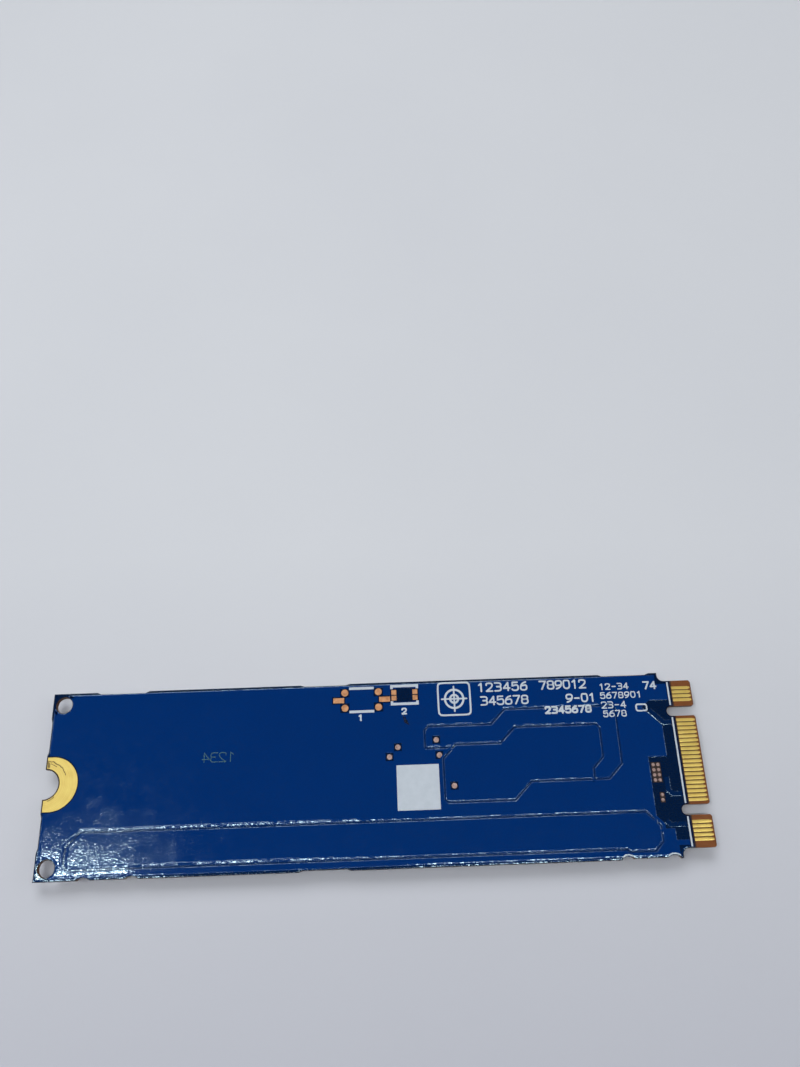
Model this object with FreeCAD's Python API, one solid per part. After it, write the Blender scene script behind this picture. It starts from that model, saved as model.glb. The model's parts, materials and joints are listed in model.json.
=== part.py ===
import FreeCAD, Part
import math
import os

# A gumstick solid state drive: a bare keyed card, single sided, lying on its packages.
# Millimetres. X runs from the screw end to the card edge, Z is up, the bare back is on top.
# The origin is the middle of the footprint on the surface that the drive lies on.

# Card outline
card_length = 80.0
tongue_length = 4.1
shoulder_width = 1.075
shoulder_fillet = 0.75
core_thickness = 0.66
tip_corner_bevel = 0.22
tip_bevel_length = 0.2
tip_bevel_depth = 0.12

# Card edge contacts: places are counted across both faces, half a pitch apart
contact_pitch = 0.5
contact_place_count = 75
contact_width = 0.35
contact_length = 2.3
contact_tip_gap = 0.2
contact_nose = 0.3
contact_nose_width = 0.18
contact_thickness = 0.04
tongue_margin = 0.675
key_place_count = 8
lower_key_after_count = 11
upper_key_after_count = 58
key_width = 1.2
key_depth = 3.5

# Screw notch and tooling holes at the mount end
notch_radius = 1.75
screw_pad_radius = 3.2
screw_pad_straight = 0.85
pad_pullback = 0.16
tooling_radius = 1.0
tooling_from_end = 1.4
tooling_from_side = 1.45

# Scars where the break-off tabs of the panel were snapped
router_radius = 1.0
scar_slope = 0.5
scar_overcut = 0.6
# edge, middle along the edge, length, depth of the stub, depth of the router bites at its ends
tab_scars = (
    ("top", 8.65, 6.5, 0.25, 0.0),
    ("top", 34.0, 6.2, 0.16, 0.0),
    ("top", 71.65, 6.4, 0.2, 0.0),
    ("bottom", 8.6, 7.2, 0.03, 0.37),
    ("bottom", 33.9, 6.2, 0.17, 0.0),
    ("bottom", 72.15, 7.1, 0.12, 0.45),
    ("end", 5.65, 4.5, 0.15, 0.0),
    ("end", -5.6, 4.4, 0.15, 0.0),
)

# Layers on the laminate
copper_thickness = 0.03
mask_film = 0.04
ink_thickness = 0.015
copper_rim = 0.36
copper_to_mask_edge = 0.02
mask_rim = 0.06
mask_to_contact = 0.15
mask_to_pad = 0.05
pad_isolation = 0.16
pour_gap = 0.28

# White legend
bar_width = 0.2
bar_from_mask_edge = 0.2
bar_end_inset = 0.16
copper_to_bar = 0.1
ink_square_x = 45.22
ink_square_y = -1.9
ink_square_length = 5.15
ink_square_width = 5.3
bracket_stroke = 0.32

# Long lower pour
lower_pour_left = 3.4
lower_pour_top = -5.7
lower_pour_bottom = -9.85
lower_pour_from_tip = 6.25
lower_pour_bevel = 1.6
lower_pour_corner = 0.5
lower_pour_step = 0.27
lower_pour_step_length = 4.1

# Arm pour and the inner pour that it wraps
arm_left = 46.25
arm_low_edge = 2.65
arm_knee = 49.6
arm_shelf = 2.97
arm_roof = 5.3
arm_roof_step = 54.5
arm_crest = 7.1
arm_right = 70.1
arm_inner_step = 55.5
arm_inner_roof = 4.85
arm_inner_right = 67.9
arm_gate_x = 66.6
arm_gate_y = -1.72
arm_corner = 0.45
arm_outer_slant = 1.75
inner_pour_left = 48.4
inner_pour_bottom = -3.82
inner_pour_step = 58.9
inner_pour_corner = 0.4
inner_pour_shoulder = 1.6

# Traces and fields of copper beside the card edge, set back from the tip
field_setback = 4.4
field_end_setback = 6.7
field_bottom = 0.72
field_top = 4.4
trace_width = 0.45
diagonal_trace_y = 4.75
diagonal_trace_rise = 2.3
diagonal_trace_setback = 4.1
middle_trace_y = -3.77
middle_trace_setback = 4.3
middle_trace_rise = 2.0
low_trace_y = -7.27
low_trace_setback = 5.1
upper_patch_low = 7.62
lower_patch_low = -9.05
lower_patch_high = -7.75
patch_setback = 5.6
lower_patch_setback = 4.7

# Exposed pads on the upper face
test_pad_radius = 0.33
test_pads_at = ((41.85, 1.78), (42.9, 2.92), (47.65, 3.65), (47.95, 1.8), (49.57, -1.88))
via_land_radius = 0.2
via_columns_from_tip = (6.15, 5.58)
via_first_y = -0.28
via_pitch = 0.6
via_rows = 4
spare_via_first_y = -3.8
spare_vias = 2
via_bay_margin = 0.32
via_window_margin = 0.1
pad_thickness = 0.04
small_pad_sides = 12

# Wide empty footprint: round corner pads, two side tabs and brackets
wide_x = 38.57
wide_from_side = 2.1
wide_pad_span = 4.2
wide_pad_rise = 1.92
wide_pad_radius = 0.43
wide_tab_span = 5.75
wide_tab_length = 1.35
wide_tab_width = 0.63
wide_bracket_length = 3.1
wide_bracket_span = 2.92

# Narrow empty footprint: four pads close in pairs round a bare bay
footprint_gap = 0.205
narrow_from_side = 1.65
narrow_pad_span = 2.65
narrow_pad_rise = 0.72
narrow_pad_length = 0.6
narrow_pad_width = 0.58
narrow_bay_length = 1.95
narrow_bay_width = 1.75
narrow_bracket_length = 3.5
narrow_bracket_span = 2.25
narrow_bracket_leg = 0.2

# Large packages on the lower face, all of one seated height
ball_height = 0.22
ball_radius = 0.2
ball_from_side = 0.7
ball_sides = 6
large_body_height = 0.98
flash_from_end = 7.0
flash_length = 14.0
flash_width = 18.0
flash_gap = 2.0
flash_ball_pitch = 2.4
controller_gap = 2.6
controller_size = 12.0
controller_substrate = 0.3
controller_cap_inset = 0.6
controller_cap_draft = 0.15
controller_ball_pitch = 1.8
cache_gap = 1.6
cache_length = 7.5
cache_width = 11.0
cache_body_height = 0.8
cache_ball_pitch = 2.0

# Power column between the cache and the card edge
column_gap = 1.3
column_from_side = 1.1
column_spacing = 0.7
power_size = 4.0
power_height = 0.75
power_leads_per_side = 4
power_lead_pitch = 0.8
inductor_length = 2.5
inductor_width = 2.0
inductor_height = 1.0
inductor_strap = 0.45
inductor_strap_thickness = 0.08
inductor_edge = 0.15
switch_length = 2.9
switch_width = 1.6
switch_height = 0.95
switch_standoff = 0.08
switch_draft = 0.12
switch_lead_pitch = 0.95
switch_lead_width = 0.38
switch_lead_thickness = 0.14
switch_lead_reach = 0.62
switch_foot = 0.35
fuse_length = 1.6
fuse_width = 0.8
fuse_height = 0.55
bulk_length = 3.2
bulk_width = 2.5
bulk_height = 1.1

# Small parts
lead_width = 0.26
lead_depth = 0.3
lead_thickness = 0.2
serial_length = 3.0
serial_width = 2.0
serial_height = 0.55
serial_leads_per_side = 4
serial_lead_pitch = 0.55
crystal_length = 2.5
crystal_width = 2.0
crystal_base_height = 0.4
crystal_lid_height = 0.2
crystal_lid_inset = 0.16
crystal_lid_bevel = 0.3
small_length = 1.0
small_width = 0.5
capacitor_height = 0.5
resistor_height = 0.34
row_gap = 0.55
row_pitch = 3.2
flash_row_count = 3
controller_row_count = 3
cache_row_count = 2
resistor_count = 7
resistor_pitch = 1.9
terminal_share = 0.24
body_inset = 0.02

# Places that follow from the sizes above
contact_step = contact_pitch / 2
middle_place = (contact_place_count + 1) / 2
tongue_width = (contact_place_count - 1) * contact_step + 2 * tongue_margin
card_width = tongue_width + 2 * shoulder_width
mount_x = -card_length / 2
tip_x = card_length / 2
side_y = card_width / 2
wide_y = side_y - wide_from_side
narrow_y = side_y - narrow_from_side
wide_end_x = wide_x + (wide_tab_span + wide_tab_length) / 2
narrow_x = wide_end_x + footprint_gap + (narrow_pad_span + narrow_pad_length) / 2
tongue_y = tongue_width / 2
lower_key = (lower_key_after_count + 1, lower_key_after_count + key_place_count)
upper_key = (upper_key_after_count + 1, upper_key_after_count + key_place_count)
shoulder_x = tip_x - tongue_length
contact_front = tip_x - contact_tip_gap
contact_back = contact_front - contact_length
mask_front = contact_back - mask_to_contact
bar_front = mask_front - bar_from_mask_edge
bar_back = bar_front - bar_width
copper_front = bar_back - copper_to_bar
layer_thickness = copper_thickness + mask_film
seat_z = ball_height + large_body_height
core_bottom = seat_z + layer_thickness
core_top = core_bottom + core_thickness
face_z = core_top + layer_thickness
flash_a_x = mount_x + flash_from_end + flash_length / 2
flash_b_x = flash_a_x + flash_length + flash_gap
controller_x = flash_b_x + flash_length / 2 + controller_gap + controller_size / 2
cache_x = controller_x + controller_size / 2 + cache_gap + cache_length / 2
column_x = cache_x + cache_length / 2 + column_gap + power_size / 2

UP = FreeCAD.Vector(0, 0, 1)


def point(x, y, z=0.0):
    return FreeCAD.Vector(x, y, z)


def from_mount(x):
    """Card X of a distance from the mount end."""
    return mount_x + x


def from_tip(x):
    """Card X of a distance back from the tip of the tongue."""
    return tip_x - x


def polygon(points):
    """Flat face inside straight edges."""
    corners = [point(x, y) for x, y in points]
    return Part.Face(Part.makePolygon(corners + corners[:1]))


def rectangle(x0, x1, y0, y1):
    return polygon(((x0, y0), (x1, y0), (x1, y1), (x0, y1)))


def centred(x, y, length, width):
    return rectangle(x - length / 2, x + length / 2, y - width / 2, y + width / 2)


def disc(x, y, radius):
    return Part.Face(Part.Wire(Part.Circle(point(x, y), UP, radius).toShape()))


def discs(places, radius):
    return [disc(x, y, radius) for x, y in places]


def squares(places, radius):
    return [centred(x, y, 2 * radius, 2 * radius) for x, y in places]


def small_round(x, y, radius, sides):
    """Many-sided face, for round things too small to need a circle."""
    turns = [2 * math.pi * i / sides for i in range(sides)]
    return polygon([(x + radius * math.cos(turn), y + radius * math.sin(turn)) for turn in turns])


def small_rounds(places, radius):
    return [small_round(x, y, radius, small_pad_sides) for x, y in places]


def side_lines(points, width, closed):
    """Lines half a width to the left and to the right of a line, mitred at its corners."""
    left = []
    right = []
    last = len(points) - 1
    for i, (x, y) in enumerate(points):
        before = points[i - 1] if closed or i else (x, y)
        after = points[(i + 1) % len(points)] if closed or i < last else (x, y)
        into = point(x - before[0], y - before[1])
        out = point(after[0] - x, after[1] - y)
        into = (into if into.Length else out).normalize()
        out = (out if out.Length else into).normalize()
        normal = point(-into.y - out.y, into.x + out.x)
        normal.normalize()
        reach = width / 2 / (normal.x * -into.y + normal.y * into.x)
        left.append((x + normal.x * reach, y + normal.y * reach))
        right.append((x - normal.x * reach, y - normal.y * reach))
    return left, right


def strip(points, width):
    """Flat band of one width along an open line."""
    left, right = side_lines(points, width, False)
    return polygon(left + right[::-1])


def outline_band(points, width):
    """Flat band of one width along a closed line that runs clockwise."""
    outside, inside = side_lines(points, width, True)
    return polygon(outside).cut(polygon(inside))


def joined(faces):
    """One flat shape from faces that touch or overlap."""
    return faces[0].fuse(faces[1:]).removeSplitter()


def slab(flat, z, thickness):
    """Flat faces raised to a height and given a thickness."""
    solids = []
    for face in flat.Faces:
        raised = face.copy()
        raised.translate(point(0, 0, z))
        solids.append(raised.extrude(UP * thickness))
    return solids[0] if len(solids) == 1 else Part.Compound(solids)


def box(x, y, z, length, width, height):
    """Box on a middle point of its base, or hung from it where the height is negative."""
    return slab(centred(x, y, length, width), z + min(height, 0), abs(height))


def save(name, shape):
    shape.exportStep("parts/" + name + ".step")


# Outline of the card

def place_y(place):
    """Y of a contact place across the tongue."""
    return (place - middle_place) * contact_step


def key_y(key):
    return (place_y(key[0]) + place_y(key[1])) / 2


def card_blank(inset):
    """Plate with shoulders, a concave fillet and the tongue, drawn inside the edge by an inset."""
    fillet = min(shoulder_fillet, shoulder_width)
    centre_x = shoulder_x + fillet
    centre_y = tongue_y + fillet
    radius = fillet + inset
    slant = radius * math.sqrt(0.5)
    lower = [point(mount_x + inset, inset - side_y), point(shoulder_x - inset, inset - side_y)]
    edges = [Part.LineSegment(*lower).toShape()]
    start = point(shoulder_x - inset, -centre_y)
    edges.append(Part.LineSegment(lower[1], start).toShape())
    end = point(centre_x, inset - tongue_y)
    edges.append(Part.Arc(start, point(centre_x - slant, slant - centre_y), end).toShape())
    corner = point(tip_x - inset, inset - tongue_y)
    edges.append(Part.LineSegment(end, corner).toShape())
    half = Part.Wire(edges)
    other = half.mirror(point(0, 0), point(0, 1))
    front = Part.LineSegment(corner, point(corner.x, -corner.y)).toShape()
    back = Part.LineSegment(lower[0], point(lower[0].x, -lower[0].y)).toShape()
    return Part.Face(Part.Wire(Part.__sortEdges__(half.Edges + other.Edges + [front, back])))


def key_slot(key, inset):
    """Full-round slot of a key, open at the tip."""
    y = key_y(key)
    radius = key_width / 2 + inset
    bottom = tip_x - key_depth + key_width / 2
    return joined([rectangle(bottom, tip_x + radius, y - radius, y + radius), disc(bottom, y, radius)])


def router_bites(half, bite, inset):
    """Round bites that a router left at both ends of a tab."""
    reach = math.sqrt(router_radius ** 2 - (router_radius - bite) ** 2)
    return [disc(side * (half - reach), router_radius - bite, router_radius + inset) for side in (-1, 1)]


def tab_scar(edge, middle, length, stub, bite, inset):
    """Snapped tab: a low stub with sloped ends, or between two router bites, cut into an edge."""
    half = length / 2
    foot = half - scar_slope
    low = -stub - inset
    cut = polygon(((-half - inset, scar_overcut), (-half - inset, -inset), (-foot - inset, low),
                   (foot + inset, low), (half + inset, -inset), (half + inset, scar_overcut)))
    if bite:
        cut = joined([cut] + router_bites(half, bite, inset))
    turn, x, y = {
        "top": (0, from_mount(middle), side_y),
        "bottom": (180, from_mount(middle), -side_y),
        "end": (90, mount_x, middle),
    }[edge]
    cut.rotate(point(0, 0), UP, turn)
    cut.translate(point(x, y))
    return cut


def tooling_places():
    y = side_y - tooling_from_side
    return [(from_mount(tooling_from_end), side * y) for side in (-1, 1)]


def card_face(inset):
    """Card outline with its keys, notch, holes and scars, drawn inside every edge by an inset."""
    cuts = [key_slot(lower_key, inset), key_slot(upper_key, inset)]
    cuts.append(disc(mount_x, 0, notch_radius + inset))
    cuts += discs(tooling_places(), tooling_radius + inset)
    cuts += [tab_scar(*scar, inset) for scar in tab_scars]
    return card_blank(inset).cut(cuts)


def behind(face, front):
    """What lies behind a line across the tongue."""
    return face.common(rectangle(mount_x, front, -side_y, side_y))


def board_core():
    """Laminate with broken tongue corners and a lead-in bevel on both faces of the tip."""
    core = slab(card_face(0.0), core_bottom, core_thickness)
    corners = [e for e in core.Edges if abs(e.BoundBox.XMin - tip_x) < 1e-6 and e.BoundBox.ZLength > 1e-6
               and e.BoundBox.YLength < 1e-6]
    core = core.makeChamfer(tip_corner_bevel, corners)
    bevel = [point(tip_x - tip_bevel_length, -side_y, core_top), point(tip_x, -side_y, core_top),
             point(tip_x, -side_y, core_top - tip_bevel_depth)]
    upper = Part.Face(Part.makePolygon(bevel + bevel[:1])).extrude(point(0, card_width, 0))
    lower = upper.mirror(point(0, 0, (core_top + core_bottom) / 2), UP)
    return core.cut([upper, lower])


# Contacts and exposed pads

def contact_numbers(first):
    """Places of one face that the keys leave, every second number."""
    missing = [n for key in (lower_key, upper_key) for n in range(key[0], key[1] + 1)]
    return [n for n in range(first, contact_place_count + 1, 2) if n not in missing]


def contact_face(y):
    """One finger: square at its inner end, narrowed to a nose at the tip."""
    half = contact_width / 2
    nose = contact_nose_width / 2
    neck = contact_front - contact_nose
    return polygon(((contact_back, y - half), (neck, y - half), (contact_front, y - nose),
                    (contact_front, y + nose), (neck, y + half), (contact_back, y + half)))


def edge_contacts(first, z):
    faces = [contact_face(place_y(n)) for n in contact_numbers(first)]
    return Part.Compound([slab(face, z, contact_thickness) for face in faces])


def screw_pad_face(grow):
    """Crescent round the notch: a short straight run, then a half circle."""
    x = from_mount(screw_pad_straight)
    radius = screw_pad_radius + grow
    return joined([rectangle(mount_x, x, -radius, radius), disc(x, 0, radius)])


def screw_pad(z):
    crescent = screw_pad_face(0.0).common(card_face(pad_pullback))
    return slab(crescent, z, pad_thickness)


def test_pad_places():
    return [(from_mount(x), y) for x, y in test_pads_at]


def via_places():
    left, right = [from_tip(x) for x in via_columns_from_tip]
    places = [(x, via_first_y - via_pitch * i) for i in range(via_rows) for x in (left, right)]
    return places + [(right, spare_via_first_y - via_pitch * i) for i in range(spare_vias)]


def via_bays(margin):
    """Rectangles round the block of via lands and round the spare ones below it."""
    reach = via_land_radius + margin
    left, right = [from_tip(x) for x in via_columns_from_tip]
    block_end = via_first_y - via_pitch * (via_rows - 1)
    spare_end = spare_via_first_y - via_pitch * (spare_vias - 1)
    return [rectangle(left - reach, right + reach, block_end - reach, via_first_y + reach),
            rectangle(right - reach, right + reach, spare_end - reach, spare_via_first_y + reach)]


def wide_pad_places():
    x = from_mount(wide_x)
    return [(x + i * wide_pad_span / 2, wide_y + j * wide_pad_rise / 2) for i in (-1, 1) for j in (-1, 1)]


def wide_tab_faces(grow):
    x = from_mount(wide_x)
    return [centred(x + i * wide_tab_span / 2, wide_y, wide_tab_length + 2 * grow, wide_tab_width + 2 * grow)
            for i in (-1, 1)]


def narrow_pad_faces(grow):
    x = from_mount(narrow_x)
    return [centred(x + i * narrow_pad_span / 2, narrow_y + j * narrow_pad_rise / 2,
                    narrow_pad_length + 2 * grow, narrow_pad_width + 2 * grow)
            for i in (-1, 1) for j in (-1, 1)]


def mask_windows():
    """Openings of the mask: one for each pad, one for each block of via lands, one for the crescent."""
    return (small_rounds(test_pad_places(), test_pad_radius + mask_to_pad)
            + discs(wide_pad_places(), wide_pad_radius + mask_to_pad)
            + wide_tab_faces(mask_to_pad) + narrow_pad_faces(mask_to_pad)
            + via_bays(via_window_margin) + [screw_pad_face(mask_to_pad)])


def copper_keepouts():
    """Clearance of the pours round every exposed pad, square round the round pads."""
    return (squares(test_pad_places(), test_pad_radius + pad_isolation)
            + squares(wide_pad_places(), wide_pad_radius + pad_isolation)
            + wide_tab_faces(pad_isolation) + narrow_pad_faces(pad_isolation)
            + via_bays(via_bay_margin) + [screw_pad_face(pad_isolation)])


def pads(faces):
    return Part.Compound([slab(face, core_top, pad_thickness) for face in faces])


# Relief of the upper face: the copper fields of the board, which the mask follows

def lower_pour_gap():
    """Gap round the long pour: bevelled at its upper corners, with a step near the card edge."""
    left = from_mount(lower_pour_left)
    right = from_tip(lower_pour_from_tip)
    bevel = lower_pour_bevel
    corner = lower_pour_corner
    step_x = right - lower_pour_step_length
    stepped = lower_pour_bottom - lower_pour_step
    line = ((left, lower_pour_top - bevel), (left + bevel, lower_pour_top), (right - bevel, lower_pour_top),
            (right, lower_pour_top - bevel), (right, stepped + 2 * corner), (right - 2 * corner, stepped),
            (step_x, stepped), (step_x - lower_pour_step, lower_pour_bottom),
            (left + corner, lower_pour_bottom), (left, lower_pour_bottom + corner))
    return outline_band(line, pour_gap)


def arm_outer_line():
    rise = arm_crest - arm_roof
    return ((arm_left, arm_low_edge), (arm_left, arm_roof - arm_corner), (arm_left + arm_corner, arm_roof),
            (arm_roof_step, arm_roof), (arm_roof_step + rise, arm_crest), (arm_right - arm_corner, arm_crest),
            (arm_right, arm_crest - arm_corner), (arm_right, arm_gate_y + arm_outer_slant),
            (arm_right - arm_outer_slant, arm_gate_y), (arm_gate_x, arm_gate_y))


def arm_inner_line():
    rise = arm_inner_roof - arm_shelf
    slant = arm_inner_right - arm_gate_x
    return ((arm_left, arm_low_edge), (arm_knee, arm_low_edge),
            (arm_knee + arm_shelf - arm_low_edge, arm_shelf),
            (arm_inner_step, arm_shelf), (arm_inner_step + rise, arm_inner_roof),
            (arm_inner_right - arm_corner, arm_inner_roof), (arm_inner_right, arm_inner_roof - arm_corner),
            (arm_inner_right, arm_gate_y + 2 * slant), (arm_gate_x, arm_gate_y + slant),
            (arm_gate_x, arm_gate_y))


def inner_pour_line():
    drop = arm_gate_y - inner_pour_bottom
    corner = inner_pour_corner
    return ((arm_gate_x, arm_gate_y), (inner_pour_step, arm_gate_y),
            (inner_pour_step - drop, inner_pour_bottom), (inner_pour_left + corner, inner_pour_bottom),
            (inner_pour_left, inner_pour_bottom + corner), (inner_pour_left, arm_shelf - inner_pour_shoulder),
            (inner_pour_left + inner_pour_shoulder, arm_shelf))


def card_line(line):
    """A line measured from the mount end, in card places."""
    return [(from_mount(x), y) for x, y in line]


def edge_bay():
    """Bare laminate between the ground pour and the card edge, before the traces cross it."""
    reach = side_y - copper_rim
    back = from_tip(field_end_setback)
    mid = from_tip(field_setback)
    patch = from_tip(patch_setback)
    low_patch = from_tip(lower_patch_setback)
    points = ((copper_front, upper_patch_low), (patch, upper_patch_low),
              (back, field_top + diagonal_trace_rise), (mid, field_top), (mid, field_bottom),
              (back, field_bottom), (back, lower_patch_high), (low_patch, lower_patch_high),
              (low_patch, lower_patch_low), (copper_front, lower_patch_low), (copper_front, -reach),
              (tip_x, -reach), (tip_x, reach), (copper_front, reach))
    return polygon(points)


def edge_traces():
    """Traces that cross the bare bay to the contacts."""
    rise = diagonal_trace_rise - trace_width - pour_gap
    bend = from_tip(diagonal_trace_setback)
    diagonal = ((bend - rise, diagonal_trace_y + rise), (bend, diagonal_trace_y),
                (copper_front, diagonal_trace_y))
    turn = from_tip(middle_trace_setback)
    middle = ((turn - trace_width, middle_trace_y + middle_trace_rise),
              (turn - trace_width, middle_trace_y + trace_width), (turn, middle_trace_y),
              (copper_front, middle_trace_y))
    low_start = from_tip(low_trace_setback)
    low = ((low_start - trace_width, low_trace_y + trace_width), (low_start, low_trace_y),
           (copper_front, low_trace_y))
    return [strip(line, trace_width) for line in (diagonal, middle, low)]


def tooling_clearances():
    """Round clearance of each tooling hole, opened towards the corner that it stands in."""
    opened = [rectangle(mount_x, x, *sorted((y, math.copysign(side_y, y)))) for x, y in tooling_places()]
    return small_rounds(tooling_places(), tooling_radius + pad_isolation) + opened


def copper_blank():
    """Field of the copper: inside the card by its rim and clear of keys, scars and tooling holes."""
    back = mount_x + copper_rim
    side = side_y - copper_rim
    front_side = tongue_y - copper_rim
    field = joined([rectangle(back, shoulder_x - copper_rim, -side, side),
                    rectangle(back, copper_front, -front_side, front_side)])
    reach = key_width / 2 + copper_rim
    bottom = tip_x - key_depth - copper_rim
    keys = [rectangle(bottom, tip_x, y - reach, y + reach) for y in (key_y(lower_key), key_y(upper_key))]
    scars = [tab_scar(*scar, mask_rim + copper_to_mask_edge) for scar in tab_scars]
    return field.cut(keys + scars + tooling_clearances())


def copper_fields():
    """Ground pour and islands, cut by the pour gaps, the bays and the clearance of each pad."""
    lines = [card_line(line) for line in (arm_outer_line(), arm_inner_line(), inner_pour_line())]
    cuts = [strip(line, pour_gap) for line in lines]
    cuts.append(lower_pour_gap())
    cuts += copper_keepouts()
    cuts.append(edge_bay())
    cuts.append(centred(from_mount(narrow_x), narrow_y, narrow_bay_length, narrow_bay_width))
    ground = copper_blank().cut(cuts)
    return Part.Compound(ground.Faces + edge_traces())


def upper_solder_mask():
    """Film that lies low on the bare laminate and steps up over the copper fields."""
    opened = behind(card_face(mask_rim), mask_front).cut(mask_windows())
    film = slab(opened, core_top, layer_thickness)
    beside = rectangle(mount_x, tip_x, -side_y, side_y).cut(copper_fields())
    return film.cut(slab(beside, core_top + mask_film, copper_thickness).Solids)


def lower_solder_mask():
    opened = behind(card_face(mask_rim), mask_front).cut(screw_pad_face(mask_to_pad))
    return slab(opened, core_bottom - layer_thickness, layer_thickness)


# White legend

def edge_bars():
    """One bar beside each group of contacts, on the low mask of the bare bay."""
    edges = (-tongue_y, key_y(lower_key) - key_width / 2, key_y(lower_key) + key_width / 2,
             key_y(upper_key) - key_width / 2, key_y(upper_key) + key_width / 2, tongue_y)
    spans = [(edges[i] + bar_end_inset, edges[i + 1] - bar_end_inset) for i in (0, 2, 4)]
    bars = [rectangle(bar_back, bar_front, y0, y1) for y0, y1 in spans]
    return [slab(bar, core_top + mask_film, ink_thickness) for bar in bars]


def bracket(x, y, length, leg):
    """Straight bracket whose ends turn by a leg towards its footprint, down for a positive leg."""
    bar = centred(x, y, length, bracket_stroke)
    if not leg:
        return bar
    side = (length - bracket_stroke) / 2
    ends = [centred(x + i * side, y - leg / 2, bracket_stroke, bracket_stroke + abs(leg)) for i in (-1, 1)]
    return joined([bar] + ends)


def white_legend():
    wide_half = wide_bracket_span / 2
    narrow_half = narrow_bracket_span / 2
    flat = [centred(from_mount(ink_square_x), ink_square_y, ink_square_length, ink_square_width)]
    for side in (-1, 1):
        flat.append(bracket(from_mount(wide_x), wide_y + side * wide_half, wide_bracket_length, 0.0))
        flat.append(bracket(from_mount(narrow_x), narrow_y + side * narrow_half, narrow_bracket_length,
                            side * narrow_bracket_leg))
    return Part.Compound(edge_bars() + [slab(face, face_z, ink_thickness) for face in flat])


# Packages with solder balls

def ball(x, y):
    """Squashed solder joint between a package and the board."""
    return slab(small_round(x, y, ball_radius, ball_sides), seat_z - ball_height, ball_height)


def spread(count, pitch):
    """Evenly spaced places about zero."""
    return [(i - (count - 1) / 2) * pitch for i in range(count)]


def ball_count(length, pitch):
    return int((length - 2 * ball_from_side) / pitch) + 1


def ball_columns(x, length, width, pitch):
    """The two outer columns of a memory package."""
    side = length / 2 - ball_from_side
    places = spread(ball_count(width, pitch), pitch)
    return [ball(x + i * side, y) for i in (-1, 1) for y in places]


def ball_ring(x, size, pitch):
    """The outer ring of a square package."""
    side = size / 2 - ball_from_side
    places = spread(ball_count(size, pitch) - 2, pitch)
    upright = [ball(x + i * side, y) for i in (-1, 1) for y in places]
    level = [ball(x + y, i * side) for i in (-1, 1) for y in places]
    corners = [ball(x + i * side, j * side) for i in (-1, 1) for j in (-1, 1)]
    return upright + level + corners


def memory_package(x, length, width, height):
    """Sawn moulded package, marked face down."""
    top = seat_z - ball_height
    return box(x, 0, top, length, width, -height)


def square_wire(size, x, z):
    half = size / 2
    corners = [point(x + i * half, j * half, z) for i, j in ((-1, -1), (1, -1), (1, 1), (-1, 1))]
    return Part.makePolygon(corners + corners[:1])


def controller_package():
    """Laminate base with a drafted moulded cap, marked face down."""
    top = seat_z - ball_height
    joint = top - controller_substrate
    bottom = top - large_body_height
    cap_size = controller_size - 2 * controller_cap_inset
    face_size = cap_size - 2 * controller_cap_draft
    base = box(controller_x, 0, top, controller_size, controller_size, -controller_substrate)
    wires = [square_wire(cap_size, controller_x, joint), square_wire(face_size, controller_x, bottom)]
    return base.fuse(Part.makeLoft(wires, True, True))


# Leadless and leaded packages

def side_leads(x, y, length, width, count, pitch, all_sides):
    """Flat leads flush with the seat and with the sides of a leadless package."""
    leads = []
    for along in spread(count, pitch):
        for side in (-1, 1):
            across = side * (width - lead_depth) / 2
            leads.append(box(x + along, y + across, seat_z, lead_width, lead_depth, -lead_thickness))
            if all_sides:
                across = side * (length - lead_depth) / 2
                leads.append(box(x + across, y + along, seat_z, lead_depth, lead_width, -lead_thickness))
    return leads


def leadless_package(name, x, y, length, width, height, count, pitch, all_sides):
    leads = side_leads(x, y, length, width, count, pitch, all_sides)
    body = box(x, y, seat_z, length, width, -height).cut(leads)
    save(name + "_body", body)
    save(name + "_leads", Part.Compound(leads))


def switch_body(x, y):
    """Moulded body with a parting line at mid height and draft towards both faces."""
    top = seat_z - switch_standoff
    bottom = seat_z - switch_height
    middle = (top + bottom) / 2
    wires = []
    for z, inset in ((top, switch_draft), (middle, 0.0), (bottom, switch_draft)):
        half_x = switch_width / 2 - inset
        half_y = switch_length / 2 - inset
        corners = [point(x + i * half_x, y + j * half_y, z) for i, j in ((-1, -1), (1, -1), (1, 1), (-1, 1))]
        wires.append(Part.makePolygon(corners + corners[:1]))
    return Part.makeLoft(wires, True, True)


def gull_lead(x, y, side):
    """Lead that leaves the parting line, bends up to the board and ends in a flat foot."""
    start = switch_width / 2
    end = start + switch_lead_reach
    foot = end - switch_foot
    thick = switch_lead_thickness
    exit_z = seat_z - (switch_height + switch_standoff) / 2
    knee = (start + foot) / 2
    section = ((start, exit_z - thick / 2), (knee, exit_z - thick / 2), (foot, seat_z - thick),
               (end, seat_z - thick), (end, seat_z), (foot - thick / 2, seat_z),
               (knee - thick / 2, exit_z + thick / 2), (start, exit_z + thick / 2))
    corners = [point(x + side * u, y - switch_lead_width / 2, z) for u, z in section]
    return Part.Face(Part.makePolygon(corners + corners[:1])).extrude(point(0, switch_lead_width, 0))


def load_switch(x, y):
    """Three leads on one side and two on the other."""
    body = switch_body(x, y)
    leads = [gull_lead(x, y + i * switch_lead_pitch, -1) for i in (-1, 0, 1)]
    leads += [gull_lead(x, y + i * switch_lead_pitch, 1) for i in (-1, 1)]
    save("load_switch_body", body)
    save("load_switch_leads", Part.Compound([lead.cut(body) for lead in leads]))


# Two-terminal parts: each place is x, y and whether the part lies along X

def chip_bodies(places, length, width, height):
    inner = length * (1 - 2 * terminal_share)
    slim = width - 2 * body_inset
    bodies = []
    for x, y, lies_along in places:
        size = (inner, slim) if lies_along else (slim, inner)
        bodies.append(box(x, y, seat_z, *size, body_inset - height))
    return Part.Compound(bodies)


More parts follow.
